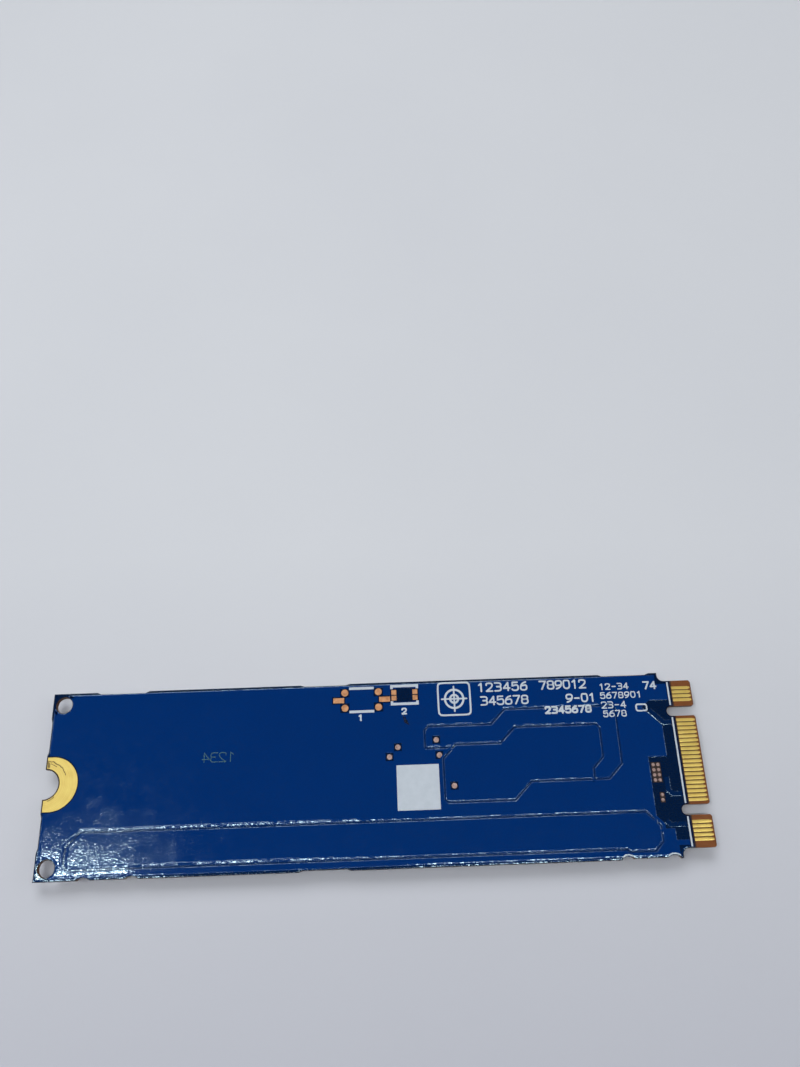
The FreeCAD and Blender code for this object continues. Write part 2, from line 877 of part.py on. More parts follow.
def chip_terminals(places, length, width, height):
    cap = length * terminal_share
    offset = (length - cap) / 2
    caps = []
    for x, y, lies_along in places:
        for side in (-1, 1):
            place = (x + side * offset, y) if lies_along else (x, y + side * offset)
            size = (cap, width) if lies_along else (width, cap)
            caps.append(box(*place, seat_z, *size, -height))
    return Part.Compound(caps)


def chips(name, places, length, width, height):
    save(name + "_bodies", chip_bodies(places, length, width, height))
    save(name + "_terminals", chip_terminals(places, length, width, height))


def inductor_core(x, y):
    """Pressed core with bevelled upright edges, relieved at both ends for its straps."""
    core = box(x, y, seat_z, inductor_length - 2 * inductor_strap_thickness, inductor_width, -inductor_height)
    upright = [e for e in core.Edges if e.BoundBox.ZLength > inductor_height / 2]
    core = core.makeChamfer(inductor_edge, upright)
    return core.cut(inductor_straps(x, y))


def inductor_straps(x, y):
    """Bent strap on each end: an upright over the end of the core and a foot under it."""
    thick = inductor_strap_thickness
    width = inductor_width - 2 * inductor_edge
    straps = []
    for side in (-1, 1):
        end = x + side * (inductor_length - thick) / 2
        foot = x + side * (inductor_length - inductor_strap) / 2
        upright = box(end, y, seat_z, thick, width, -inductor_height)
        straps.append(upright.fuse(box(foot, y, seat_z, inductor_strap, width, -thick)).removeSplitter())
    return straps


def crystal(x, y):
    base = box(x, y, seat_z, crystal_length, crystal_width, -crystal_base_height)
    lid = box(x, y, seat_z - crystal_base_height, crystal_length - 2 * crystal_lid_inset,
              crystal_width - 2 * crystal_lid_inset, -crystal_lid_height)
    upright = [e for e in lid.Edges if e.BoundBox.ZLength > crystal_lid_height / 2]
    save("crystal_base", base)
    save("crystal_lid", lid.makeChamfer(crystal_lid_bevel, upright))


# Places on the component face

def row(x, y, count):
    """Parts that lie along X in a row."""
    return [(x + along, y, True) for along in spread(count, row_pitch)]


def row_y(width):
    """Middle line of the row beside a package of this width."""
    return width / 2 + row_gap + small_width / 2


def capacitor_places():
    packages = ((flash_a_x, flash_width, flash_row_count), (flash_b_x, flash_width, flash_row_count),
                (controller_x, controller_size, controller_row_count),
                (cache_x, cache_width, cache_row_count))
    places = []
    for x, width, count in packages:
        places += row(x, row_y(width), count) + row(x, -row_y(width), count)
    return places


def resistor_places():
    """A column between the middle flash package and the controller."""
    x = controller_x - (controller_size + controller_gap) / 2
    return [(x, y, False) for y in spread(resistor_count, resistor_pitch)]


def timing_parts():
    """Crystal and serial memory side by side beyond the controller's upper row."""
    top = row_y(controller_size) + small_width / 2 + row_gap
    half = (crystal_length + row_gap + serial_length) / 2
    crystal(controller_x - half + crystal_length / 2, top + crystal_width / 2)
    leadless_package("serial_memory", controller_x + half - serial_length / 2, top + serial_width / 2,
                     serial_length, serial_width, serial_height,
                     serial_leads_per_side, serial_lead_pitch, False)


def power_column():
    """From the upper side down: inductor, power manager, inductor, load switch, fuse, bulk capacitor."""
    y = side_y - column_from_side
    places = []
    for width in (inductor_width, power_size, inductor_width, switch_length, fuse_width, bulk_width):
        places.append(y - width / 2)
        y -= width + column_spacing
    return places


def power_parts():
    first, manager, second, switch, fuse, bulk = power_column()
    leadless_package("power_manager", column_x, manager, power_size, power_size, power_height,
                     power_leads_per_side, power_lead_pitch, True)
    coils = (first, second)
    save("inductor_cores", Part.Compound([inductor_core(column_x, y) for y in coils]))
    save("inductor_straps", Part.Compound([strap for y in coils for strap in inductor_straps(column_x, y)]))
    load_switch(column_x, switch)
    chips("input_fuse", [(column_x, fuse, True)], fuse_length, fuse_width, fuse_height)
    beside_controller = -(row_y(controller_size) + small_width / 2 + row_gap + bulk_width / 2)
    bulks = [(column_x, bulk, True), (controller_x, beside_controller, True)]
    chips("bulk_capacitor", bulks, bulk_length, bulk_width, bulk_height)


def build():
    os.makedirs("parts", exist_ok=True)
    save("board_core", board_core())
    save("upper_solder_mask", upper_solder_mask())
    save("lower_solder_mask", lower_solder_mask())
    save("white_legend", white_legend())
    save("upper_edge_contacts", edge_contacts(2, core_top))
    save("lower_edge_contacts", edge_contacts(1, core_bottom - contact_thickness))
    save("upper_screw_pad", screw_pad(core_top))
    save("lower_screw_pad", screw_pad(core_bottom - pad_thickness))
    save("test_pads", pads(small_rounds(test_pad_places(), test_pad_radius)))
    save("via_lands", pads(small_rounds(via_places(), via_land_radius)))
    save("wide_footprint_pads", pads(discs(wide_pad_places(), wide_pad_radius) + wide_tab_faces(0.0)))
    save("narrow_footprint_pads", pads(narrow_pad_faces(0.0)))
    save("mount_end_flash", memory_package(flash_a_x, flash_length, flash_width, large_body_height))
    save("middle_flash", memory_package(flash_b_x, flash_length, flash_width, large_body_height))
    flash_balls = [b for x in (flash_a_x, flash_b_x)
                   for b in ball_columns(x, flash_length, flash_width, flash_ball_pitch)]
    save("flash_solder_balls", Part.Compound(flash_balls))
    save("controller_package", controller_package())
    controller_balls = ball_ring(controller_x, controller_size, controller_ball_pitch)
    save("controller_solder_balls", Part.Compound(controller_balls))
    save("cache_memory", memory_package(cache_x, cache_length, cache_width, cache_body_height))
    cache_balls = ball_columns(cache_x, cache_length, cache_width, cache_ball_pitch)
    save("cache_solder_balls", Part.Compound(cache_balls))
    timing_parts()
    power_parts()
    chips("capacitor", capacitor_places(), small_length, small_width, capacitor_height)
    chips("resistor", resistor_places(), small_length, small_width, resistor_height)


build()
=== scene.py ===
# %% [markdown]
# # A gumstick solid state drive
# The drive is a bare card. It has a laminate core, copper under a blue lacquer, gold contacts, white
# print, and chips on the face that lies downwards. The solids come from the imported frame and stay where
# they are. This lesson gives each of them its finish, and adds what is too fine for solids: the soft
# slopes of the lacquer where it runs over the copper, the print, the rub marks of a screw, and pale arcs
# at the snapped tabs that are painted highlights.

# %% Load the imported drive
import json
import math

import bmesh
import bpy
import numpy as np
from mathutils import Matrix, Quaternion, Vector


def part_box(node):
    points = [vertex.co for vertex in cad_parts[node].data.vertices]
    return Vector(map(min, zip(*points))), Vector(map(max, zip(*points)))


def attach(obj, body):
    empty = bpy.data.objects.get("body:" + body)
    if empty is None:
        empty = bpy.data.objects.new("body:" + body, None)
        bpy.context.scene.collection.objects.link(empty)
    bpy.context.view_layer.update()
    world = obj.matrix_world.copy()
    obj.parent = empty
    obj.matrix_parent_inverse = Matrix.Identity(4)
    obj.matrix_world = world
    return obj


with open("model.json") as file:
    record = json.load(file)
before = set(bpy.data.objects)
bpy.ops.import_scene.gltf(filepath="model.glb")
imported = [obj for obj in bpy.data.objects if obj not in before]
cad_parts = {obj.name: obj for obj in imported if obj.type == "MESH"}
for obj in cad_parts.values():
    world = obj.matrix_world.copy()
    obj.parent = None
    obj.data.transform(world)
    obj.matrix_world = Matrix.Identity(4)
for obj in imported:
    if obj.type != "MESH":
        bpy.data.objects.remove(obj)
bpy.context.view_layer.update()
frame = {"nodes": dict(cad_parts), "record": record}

# %% [markdown]
# ## Places that everything else is set against
# A designer measures a card from its mount end and from its centre line. The same habit keeps this file
# short: heights and ends are read from the frame once, and a small function turns "millimetres from the
# mount end" into the metres of the scene.

# %% Heights and ends of the card
MM = 0.001
core_low, core_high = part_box("board_core")
ink_low, ink_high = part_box("white_legend")
mount_x, side_y = core_low.x, core_high.y
laminate_z = core_high.z
film_z = ink_low.z
face_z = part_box("upper_solder_mask")[1].z
ink_z = ink_high.z


def on_card(points):
    """Places in millimetres from the mount end and the centre line, as metres in the frame."""
    return np.asarray(points, float) * MM + np.array([mount_x, 0.0])


print("lacquer on laminate, over copper, and print, mm:", [round(z / MM, 3) for z in (film_z, face_z, ink_z)])

# %% [markdown]
# ## Camera
# The picture was taken from above the near edge of the card with a wide phone lens. The place, the point
# that the lens looks at and the small roll were worked out from the corners, the contacts and the notch,
# all of known size.

# %% Camera of the photograph
camera_place = Vector((2.98, -14.50, 110.45)) * MM
camera_aim = Vector((4.17, 31.33, 2.0)) * MM
camera_roll = math.radians(-0.584)
camera_lens = 29.36

camera_data = bpy.data.cameras.new("photo_camera")
camera_data.lens = camera_lens
camera_data.clip_start = 1 * MM
camera = bpy.data.objects.new("photo_camera", camera_data)
camera.location = camera_place
aimed = (camera_aim - camera_place).to_track_quat("-Z", "Y")
camera.rotation_euler = (aimed @ Quaternion((0, 0, 1), camera_roll)).to_euler()
bpy.context.scene.collection.objects.link(camera)
bpy.context.scene.camera = camera
print("camera to card, mm:", round((camera_aim - camera_place).length / MM, 1))

# %% [markdown]
# ## Meshes from arrays
# Every new piece is a grid of points: rows along a path, columns round a profile. The rows are one array,
# so a piece with thousands of points is still a few lines. The profile is a closed ring, so each piece is
# a solid with an outside and no loose edges.

# %% From rings of points to a piece
def ring_faces(rows, columns, wrapped, start):
    """Quads between each ring and the next, and a cap on each end unless the rings close on themselves."""
    index = np.arange(rows * columns).reshape(rows, columns) + start
    here = index if wrapped else index[:-1]
    ahead = np.roll(index, -1, 0) if wrapped else index[1:]
    quads = np.stack([here, np.roll(here, -1, 1), np.roll(ahead, -1, 1), ahead], -1).reshape(-1, 4).tolist()
    caps = [] if wrapped else [index[0, ::-1].tolist(), index[-1].tolist()]
    return quads + caps


def make_piece(name, finish, rings, sharp_degrees=45.0):
    """One object from several (rings, wrapped) arrays, riding on the card."""
    corners, faces, start = [], [], 0
    for grid, wrapped in rings:
        rows, columns = grid.shape[:2]
        faces += ring_faces(rows, columns, wrapped, start)
        corners.append(grid.reshape(-1, 3))
        start += rows * columns
    mesh = bpy.data.meshes.new(name)
    mesh.from_pydata(np.concatenate(corners), [], faces)
    shell = bmesh.new()
    shell.from_mesh(mesh)
    bmesh.ops.recalc_face_normals(shell, faces=shell.faces)
    shell.to_mesh(mesh)
    shell.free()
    mesh.shade_smooth()
    mesh.set_sharp_from_angle(angle=math.radians(sharp_degrees))
    mesh.materials.append(finish.material)
    piece = bpy.data.objects.new(name, mesh)
    bpy.context.scene.collection.objects.link(piece)
    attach(piece, "root")
    print(name, "points:", start, "faces:", len(faces))


# %% [markdown]
# ## A short hand for materials
# A finish is one principled shader and a few nodes that read Object coordinates. The class below only
# saves typing: it makes a node, joins it and hands back its output.

# %% Finish
class Finish:
    """A material whose shader is fed by patterns laid out in the metres of the card."""

    def __init__(self, name, roughness, metallic=0.0, specular=0.5):
        self.material = bpy.data.materials.new(name)
        self.material.use_nodes = True
        self.tree = self.material.node_tree
        self.shader = self.tree.nodes["Principled BSDF"]
        self.feed("Roughness", roughness)
        self.feed("Metallic", metallic)
        self.feed("Specular IOR Level", specular)
        self.place = self.tree.nodes.new("ShaderNodeTexCoord").outputs["Object"]

    def join(self, value, socket):
        """Joins a node's output to a socket, or sets the socket where the value is plain."""
        if isinstance(value, bpy.types.NodeSocket):
            self.tree.links.new(value, socket)
        else:
            socket.default_value = value

    def feed(self, socket, value):
        """Gives a socket of the shader its value or its pattern."""
        self.join(value, self.shader.inputs[socket])

    def noise(self, size, detail=2.0, stretch=(1.0, 1.0, 1.0)):
        """Cloudy pattern from 0 to 1 with lumps of this size, drawn out along an axis by stretch."""
        mapping = self.tree.nodes.new("ShaderNodeMapping")
        mapping.inputs["Scale"].default_value = [1.0 / (size * s) for s in stretch]
        self.join(self.place, mapping.inputs["Vector"])
        cloud = self.tree.nodes.new("ShaderNodeTexNoise")
        cloud.inputs["Scale"].default_value = 1.0
        cloud.inputs["Detail"].default_value = detail
        self.join(mapping.outputs["Vector"], cloud.inputs["Vector"])
        return cloud.outputs["Fac"]

    def axis(self, letter, of=None):
        """One coordinate of the place, or of another vector."""
        parts = self.tree.nodes.new("ShaderNodeSeparateXYZ")
        self.join(of or self.place, parts.inputs["Vector"])
        return parts.outputs[letter]

    def sum(self, operation, *values):
        """Arithmetic on one or two values, by the name of the operation."""
        node = self.tree.nodes.new("ShaderNodeMath")
        node.operation = operation
        for value, socket in zip(values, node.inputs):
            self.join(value, socket)
        return node.outputs["Value"]

    def span(self, value, low, high, first=0.0, last=1.0):
        """From first to last while a value goes from low to high, and flat beyond."""
        node = self.tree.nodes.new("ShaderNodeMapRange")
        for name, given in (("From Min", low), ("From Max", high), ("To Min", first), ("To Max", last)):
            node.inputs[name].default_value = given
        self.join(value, node.inputs["Value"])
        return node.outputs["Result"]

    def mix(self, share, first, second):
        """Blend of two colours by a share."""
        node = self.tree.nodes.new("ShaderNodeMix")
        node.data_type = "RGBA"
        for value, socket in zip((share, first, second), (node.inputs[0], node.inputs[6], node.inputs[7])):
            self.join((*value, 1.0) if isinstance(value, tuple) else value, socket)
        return node.outputs[2]

    def relief(self, height, depth, under=None):
        """Bump of this depth in metres, on top of another one."""
        node = self.tree.nodes.new("ShaderNodeBump")
        node.inputs["Distance"].default_value = depth
        self.join(height, node.inputs["Height"])
        if under:
            self.join(under, node.inputs["Normal"])
        return node.outputs["Normal"]


# %% [markdown]
# ## Blue lacquer
# Solder mask is a liquid lacquer, cured on the board. Over copper it looks blue, over bare laminate it
# looks navy, because there is nothing bright behind it. Its skin is glossy with a fine orange peel, and
# the glass weave of the core shows through as a faint ripple. The height of a point says which of the two
# it lies on, so one material serves both. Painting the fields by hand would need a map that goes out of
# step with the solids. Fine specks of higher gloss make the skin glitter where it mirrors a lamp.

# %% Lacquer finish
over_copper_blue = (0.0001, 0.0247, 0.143)
over_laminate_navy = (0.0006, 0.0085, 0.038)
in_groove_blue = (0.0001, 0.013, 0.075)
over_trace_blue = (0.0003, 0.013, 0.065)
peel_size, peel_depth = 0.17 * MM, 0.006 * MM
ripple_size, ripple_depth = 1.4 * MM, 0.008 * MM
sag_size, sag_depth = 4.5 * MM, 0.08 * MM
lacquer_sheen = (0.64, 0.9, 1.0, 1.0)
speck_size, cloud_size, gloss_size = 0.15 * MM, 7 * MM, 1.6 * MM
least_gloss, most_gloss = 0.11, 0.07
plain_level, level_loss, level_gain = 0.5, 0.42, 0.5
lower_grain = 0.2


def make_lacquer(name, low_colour, high_colour, grain=1.0):
    """One colour over copper, another where the lacquer sinks to the laminate; grain scales the glitter."""
    finish = Finish(name, most_gloss)
    finish.feed("Specular Tint", lacquer_sheen)
    step = face_z - film_z
    high = finish.mix(finish.noise(cloud_size, 3.0), high_colour, tuple(0.9 * c for c in high_colour))
    covered = finish.span(finish.axis("Z"), film_z + 0.1 * step, face_z - 0.1 * step)
    finish.feed("Base Color", finish.mix(covered, low_colour, high))
    finish.feed("Roughness", finish.span(finish.noise(gloss_size, 3.0), 0.3, 0.7, most_gloss, least_gloss))
    levels = plain_level - level_loss * grain, plain_level + level_gain * grain
    finish.feed("Specular IOR Level", finish.span(finish.noise(speck_size, 0.0), 0.42, 0.62, *levels))
    sag = finish.relief(finish.noise(sag_size, 1.0), sag_depth)
    ripple = finish.relief(finish.noise(ripple_size, 1.0), ripple_depth, sag)
    finish.feed("Normal", finish.relief(finish.noise(peel_size, 1.0), peel_depth * grain, ripple))
    return finish


lacquer = make_lacquer("lacquer_over_copper", over_laminate_navy, over_copper_blue)
groove_lacquer = make_lacquer("lacquer_in_grooves", in_groove_blue, over_copper_blue)
trace_lacquer = make_lacquer("lacquer_over_traces", over_laminate_navy, over_trace_blue)
lower_lacquer = make_lacquer("lacquer_lower_face", over_copper_blue, over_copper_blue, lower_grain)
lacquers = (lacquer, groove_lacquer, trace_lacquer, lower_lacquer)
print("lacquer finishes:", [finish.material.name for finish in lacquers])

# %% [markdown]
# ## Laminate
# The core is woven glass in epoxy. On the tongue it is a warm brown, and behind the contacts, where it
# shows only in the narrow gaps round the pads, it is painted nearly black as the shade of those gaps. The
# cut edges are dark with pale fibre ends in four plies. The direction of a face tells edge and flat apart,
# and the contacts' inner ends part the brown from the painted shade, so one material serves the whole core.

# %% Laminate finish
amber = (0.19, 0.058, 0.008)
amber_dark = (0.11, 0.03, 0.004)
shaded_brown = (0.016, 0.006, 0.004)
edge_dark = (0.105, 0.042, 0.018)
edge_pale = (0.36, 0.18, 0.085)
ply, yarn, fibre, fibre_depth = 0.165 * MM, 0.45 * MM, 0.09 * MM, 0.006 * MM

laminate = Finish("laminate", 0.5, specular=0.25)
weave = laminate.noise(yarn, 2.0, (3.0, 1.0, 1.0))
flat_brown = laminate.mix(weave, amber, amber_dark)
plies = laminate.sum("SINE", laminate.sum("MULTIPLY", laminate.axis("Z"), 2 * math.pi / ply))
fibre_ends = laminate.noise(fibre, 3.0, (1.0, 1.0, 0.4))
fibres = laminate.sum("ADD", fibre_ends, laminate.sum("MULTIPLY", plies, 0.12))
cut_edge = laminate.mix(laminate.span(fibres, 0.5, 0.85), edge_dark, edge_pale)
geometry = laminate.tree.nodes.new("ShaderNodeNewGeometry")
upright = laminate.sum("ABSOLUTE", laminate.axis("Z", geometry.outputs["Normal"]))
faces_up = laminate.span(upright, 0.4, 0.8)
root_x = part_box("upper_edge_contacts")[0].x
# Behind the contacts the flat laminate is painted nearly black: painted shade of the narrow gaps round the
# pads.
shade_behind_contacts = laminate.span(laminate.axis("X"), root_x - 0.02 * MM, root_x + 0.1 * MM, 1.0, 0.0)
flat_brown = laminate.mix(shade_behind_contacts, flat_brown, shaded_brown)
laminate.feed("Base Color", laminate.mix(faces_up, cut_edge, flat_brown))
laminate.feed("Roughness", laminate.span(weave, 0.2, 0.8, 0.38, 0.62))
laminate.feed("Normal", laminate.relief(fibres, fibre_depth))
print("laminate plies:", round((core_high.z - core_low.z) / ply))

# %% [markdown]
# ## Gold
# The contacts and the crescent are gold over nickel, and their gloss is broken by handling. Contacts are
# wiped along the card by their socket, and the crescent is rubbed in circles by a screw head. A picture
# of scratches would serve one place only, so here the scratches are noise that is drawn out along each
# motion.

# %% Gold finishes
contact_shades = (0.645, 0.49, 0.139), (0.494, 0.322, 0.074)
crescent_shades = (0.565, 0.455, 0.149), (0.468, 0.344, 0.094)
worn_patch, wipe_width, rub_width, scratch_depth = 1.1 * MM, 0.05 * MM, 0.09 * MM, 0.0012 * MM


def make_gold(name, scratches, roughness, bright, worn):
    """Bright gold that turns dull where a pattern of scratches crosses it."""
    finish = Finish(name, roughness, metallic=1.0)
    marks = scratches(finish)
    wear = finish.sum("MULTIPLY", marks, finish.span(finish.noise(worn_patch, 2.0), 0.35, 0.75))
    finish.feed("Base Color", finish.mix(wear, bright, worn))
    finish.feed("Roughness", finish.span(marks, 0.2, 0.8, roughness - 0.06, roughness + 0.12))
    finish.feed("Normal", finish.relief(marks, scratch_depth))
    return finish


def wiped_along(finish):
    """Scratches drawn out along the card."""
    return finish.noise(wipe_width, 2.0, (30.0, 1.0, 1.0))


def rubbed_round(finish):
    """Scratches that depend on the distance from the screw alone."""
    away = finish.tree.nodes.new("ShaderNodeVectorMath")
    away.operation = "DISTANCE"
    finish.join(finish.place, away.inputs[0])
    away.inputs[1].default_value = (mount_x, 0.0, laminate_z)
    cloud = finish.tree.nodes.new("ShaderNodeTexNoise")
    cloud.noise_dimensions = "1D"
    cloud.inputs["Scale"].default_value = 1.0 / rub_width
    finish.join(away.outputs["Value"], cloud.inputs["W"])
    return cloud.outputs["Fac"]


contact_gold = make_gold("contact_gold", wiped_along, 0.34, *contact_shades)
crescent_gold = make_gold("crescent_gold", rubbed_round, 0.62, *crescent_shades)
print("gold finishes:", contact_gold.material.name, crescent_gold.material.name)

# %% [markdown]
# ## Copper, tin and solder
# The empty pads are bare copper gone dull, the chips have tinned ends, and solder joins them to the card.
# All three tarnish in clouds, so one function makes them from a clean and a dull colour and the size of
# the clouds.

# %% Copper, tin and solder finishes
metal_grain, metal_depth = 0.06 * MM, 0.0015 * MM


def make_metal(name, clean, dull, roughness, lump):
    """Metal with cloudy patches of tarnish, whose size is in millimetres."""
    finish = Finish(name, roughness, metallic=1.0)
    patches = finish.noise(lump * MM, 4.0)
    finish.feed("Base Color", finish.mix(finish.span(patches, 0.4, 0.7), clean, dull))
    finish.feed("Roughness", finish.span(patches, 0.3, 0.7, roughness - 0.08, roughness + 0.12))
    finish.feed("Normal", finish.relief(finish.noise(metal_grain, 2.0), metal_depth))
    return finish


pad_copper = make_metal("pad_copper", (0.4, 0.212, 0.112), (0.3, 0.145, 0.072), 0.55, 0.5)
bare_via = make_metal("via_copper", (0.3, 0.22, 0.205), (0.22, 0.145, 0.125), 0.55, 0.3)
tin = make_metal("tinned_end", (0.68, 0.68, 0.66), (0.5, 0.5, 0.49), 0.36, 0.25)
solder = make_metal("solder_joint", (0.62, 0.62, 0.62), (0.42, 0.42, 0.43), 0.3, 0.2)
cover_metal = make_metal("crystal_cover", (0.72, 0.69, 0.6), (0.56, 0.53, 0.46), 0.3, 0.6)
metals = (pad_copper, bare_via, tin, solder, cover_metal)
print("metals:", [metal.material.name for metal in metals])

# %% [markdown]
# ## Ink, mouldings and ceramics
# The print is a thin white ink with a cool cast, a little uneven from the screen. The packages are black
# epoxy with a fine grain from the mould. The small chips are fired ceramic: brown, black or pale. All of
# them are matt, so one function makes them from two close colours in clouds.

# %% Matt finishes
def make_matt(name, base, shade, roughness, lump, grain, depth):
    """Two close colours in clouds of one size, over a grain of another; sizes and depth in millimetres."""
    finish = Finish(name, roughness, specular=0.4)
    clouds = finish.noise(lump * MM, 4.0)
    finish.feed("Base Color", finish.mix(finish.span(clouds, 0.3, 0.7), base, shade))
    finish.feed("Roughness", finish.span(clouds, 0.25, 0.75, roughness - 0.07, roughness + 0.07))
    finish.feed("Normal", finish.relief(finish.noise(grain * MM, 2.0), depth * MM))
    return finish


ink = make_matt("legend_ink", (0.46, 0.518, 0.583), (0.417, 0.473, 0.537), 0.5, 0.8, 0.08, 0.002)
faint_ink = make_matt("faint_ink", (0.001, 0.066, 0.086), (0.001, 0.05, 0.1), 0.5, 0.4, 0.1, 0.001)
moulding = make_matt("moulding", (0.02, 0.02, 0.022), (0.028, 0.028, 0.03), 0.58, 2.5, 0.05, 0.004)
powder = make_matt("pressed_powder", (0.08, 0.08, 0.085), (0.11, 0.11, 0.115), 0.7, 0.2, 0.06, 0.006)
package_ceramic = make_matt("package_ceramic", (0.15, 0.13, 0.11), (0.19, 0.165, 0.14),
                            0.6, 0.5, 0.05, 0.002)
fuse_ceramic = make_matt("fuse_ceramic", (0.6, 0.58, 0.48), (0.5, 0.48, 0.4), 0.5, 0.3, 0.05, 0.002)
capacitor_ceramic = make_matt("capacitor_ceramic", (0.36, 0.235, 0.135), (0.28, 0.175, 0.1),
                              0.45, 0.4, 0.05, 0.002)
resistor_ceramic = make_matt("resistor_ceramic", (0.028, 0.028, 0.03), (0.045, 0.045, 0.048),
                             0.4, 0.3, 0.05, 0.002)
matts = (ink, faint_ink, moulding, powder, package_ceramic, fuse_ceramic, capacitor_ceramic, resistor_ceramic)
print("matt finishes:", [matt.material.name for matt in matts])

# %% [markdown]
# ## Dressing the solids
# The record already says which finish each solid belongs to, so a table from slot to finish dresses them
# all. Two faces of lacquer and two shapes of gold get their own versions.

# %% Finish of each solid
slot_finish = {
    "laminate": laminate, "solder_mask": lacquer, "legend_ink": ink, "contact_gold": contact_gold,
    "pad_copper": pad_copper, "tinned_terminal": tin, "solder": solder, "moulding": moulding,
    "pressed_powder": powder, "package_ceramic": package_ceramic, "crystal_cover": cover_metal,
    "fuse_ceramic": fuse_ceramic, "capacitor_ceramic": capacitor_ceramic,
    "resistor_ceramic": resistor_ceramic,
}
own_finish = {
    "lower_solder_mask": lower_lacquer, "upper_screw_pad": crescent_gold, "lower_screw_pad": crescent_gold,
    "test_pads": bare_via, "via_lands": bare_via,
}
for part in frame["record"]["subparts"]:
    finish = own_finish.get(part["node"], slot_finish[part["material_slot"]])
    solid = frame["nodes"][part["node"]].data
    solid.materials.clear()
    solid.materials.append(finish.material)

# %% [markdown]
# ## Slopes of the lacquer
# Real lacquer doesn't step: it sags over the edge of the copper in a slope about a tenth of a millimetre
# wide, and those slopes are what catches the light. They could be bevels on the solids, but the edges are
# uneven and glitter, so a profile is carried along each edge with a little seeded wander. It rests on the
# film and covers the sharp step of the solid below.

# %% Paths and carried profiles
rng = np.random.default_rng(22)
lift, mitre_limit = 0.002 * MM, 0.7
hidden_z = laminate_z + 0.5 * (film_z - laminate_z)


def divided(points, spacing, closed=False):
    """Points along straight runs at about this spacing, with every corner kept."""
    corners = np.vstack([points, points[:1]]) if closed else np.asarray(points)
    runs = []
    for first, second in zip(corners[:-1], corners[1:]):
        count = max(1, int(np.linalg.norm(second - first) / spacing))
        runs.append(first + (second - first) * np.linspace(0, 1, count, endpoint=False)[:, None])
    return np.vstack(runs if closed else runs + [corners[-1:]])


def left_of(path, closed):
    """Sideways step at each point: the mean of the normals before and after it, lengthened for the mitre."""
    ahead = np.roll(path, -1, 0) - path
    if not closed:
        ahead[-1] = ahead[-2]
    ahead /= np.linalg.norm(ahead, axis=1)[:, None]
    behind = np.roll(ahead, 1, 0)
    if not closed:
        behind[0] = ahead[0]
    mean = ahead + behind
    mean /= np.linalg.norm(mean, axis=1)[:, None]
    stretch = 1 / np.clip((mean * ahead).sum(1), mitre_limit, 1.0)
    return np.stack([-mean[:, 1], mean[:, 0]], 1) * stretch[:, None]


def carried(path, closed, across, up):
    """Rings of a profile along a path: path plus across times the sideways step, at height up."""
    rows = len(path)
    across = np.broadcast_to(across, (rows, np.shape(across)[-1]))
    rings = np.empty((*across.shape, 3))
    rings[..., :2] = path[:, None] + across[..., None] * left_of(path, closed)[:, None]
    rings[..., 2] = up
    return rings


def on_circle(x, y, radius, around):
    """Places on a circle, in millimetres: middle plus radius times cosine and sine."""
    return np.stack([x + radius * np.cos(around), y + radius * np.sin(around)], 1)


def ring_line(x, y, radius, count=48):
    """Closed circle on the card."""
    return on_card(on_circle(x, y, radius, np.linspace(0, 2 * math.pi, count, endpoint=False)))


def smooth(share):
    """Soft step from 0 to 1: three times the square less twice the cube."""
    share = np.clip(share, 0, 1)
    return share * share * (3 - 2 * share)


def wander(rows, amount):
    """Seeded unevenness along a path: the sum of three neighbouring random steps, over the root of three."""
    steps = rng.normal(0, amount, rows + 2)
    return (steps[:-2] + steps[1:-1] + steps[2:])[:, None] / math.sqrt(3)


def closed_under(across, up, under=hidden_z):
    """Adds the two hidden corners that close a profile below, inside the lacquer or the core."""
    rows = len(up)
    across = np.broadcast_to(across, (rows, np.shape(across)[-1]))
    low = np.full((rows, 1), under)
    return np.hstack([across, across[:, -1:], across[:, :1]]), np.hstack([up, low, low])


print("hidden foot of the profiles, mm:", round(hidden_z / MM, 3))

# %% [markdown]
# ## Grooves
# Between two fields of copper the lacquer dips to the laminate in a narrow valley. Its far bank leans up
# to a low bead, a facet that mirrors the strip of light as a thin bright line. A bevel gives two even
# banks, so the profile is worked out instead: a soft step on both sides, and the bead on the bank that
# lies farther away.

# %% Grooves between the copper fields
groove_half, groove_floor, bead_fall = 0.16 * MM, 0.08 * MM, 0.1 * MM
path_spacing, groove_columns = 0.16 * MM, 33
facet_ends = on_card([(30, 0), (44, 0)])[:, 0]
floor_wander, bead_wander = 0.012 * MM, 0.3


def groove(points, closed, lean, facet, far_facet):
    """Valley along a line, film height in the middle and copper height beyond. Its far bank leans up over a
    facet, whose width goes from one value at the mount end to another past the middle, and falls back."""
    path = divided(on_card(points), path_spacing, closed)
    rows = len(path)
    land = groove_half + facet + bead_fall
    across = np.linspace(-land, land, groove_columns)
    inner = np.clip(groove_floor + wander(rows, floor_wander), 0.02 * MM, groove_half * 0.7)
    rise = smooth((np.abs(across) - inner) / (groove_half - inner))
    wide = np.interp(path[:, :1], facet_ends, [facet, far_facet])
    past = np.abs(across) - groove_half
    bead = np.clip(np.minimum(lean * past, lean * wide * (1 - (past - wide) / bead_fall)), 0, None)
    far_side = np.clip(0.5 + 0.5 * np.sign(across) * left_of(path, closed)[:, 1:], 0, 1)
    up = film_z + (face_z - film_z) * rise + lift + bead * far_side * (1 + wander(rows, bead_wander))
    return carried(path, closed, *closed_under(across, up)), closed


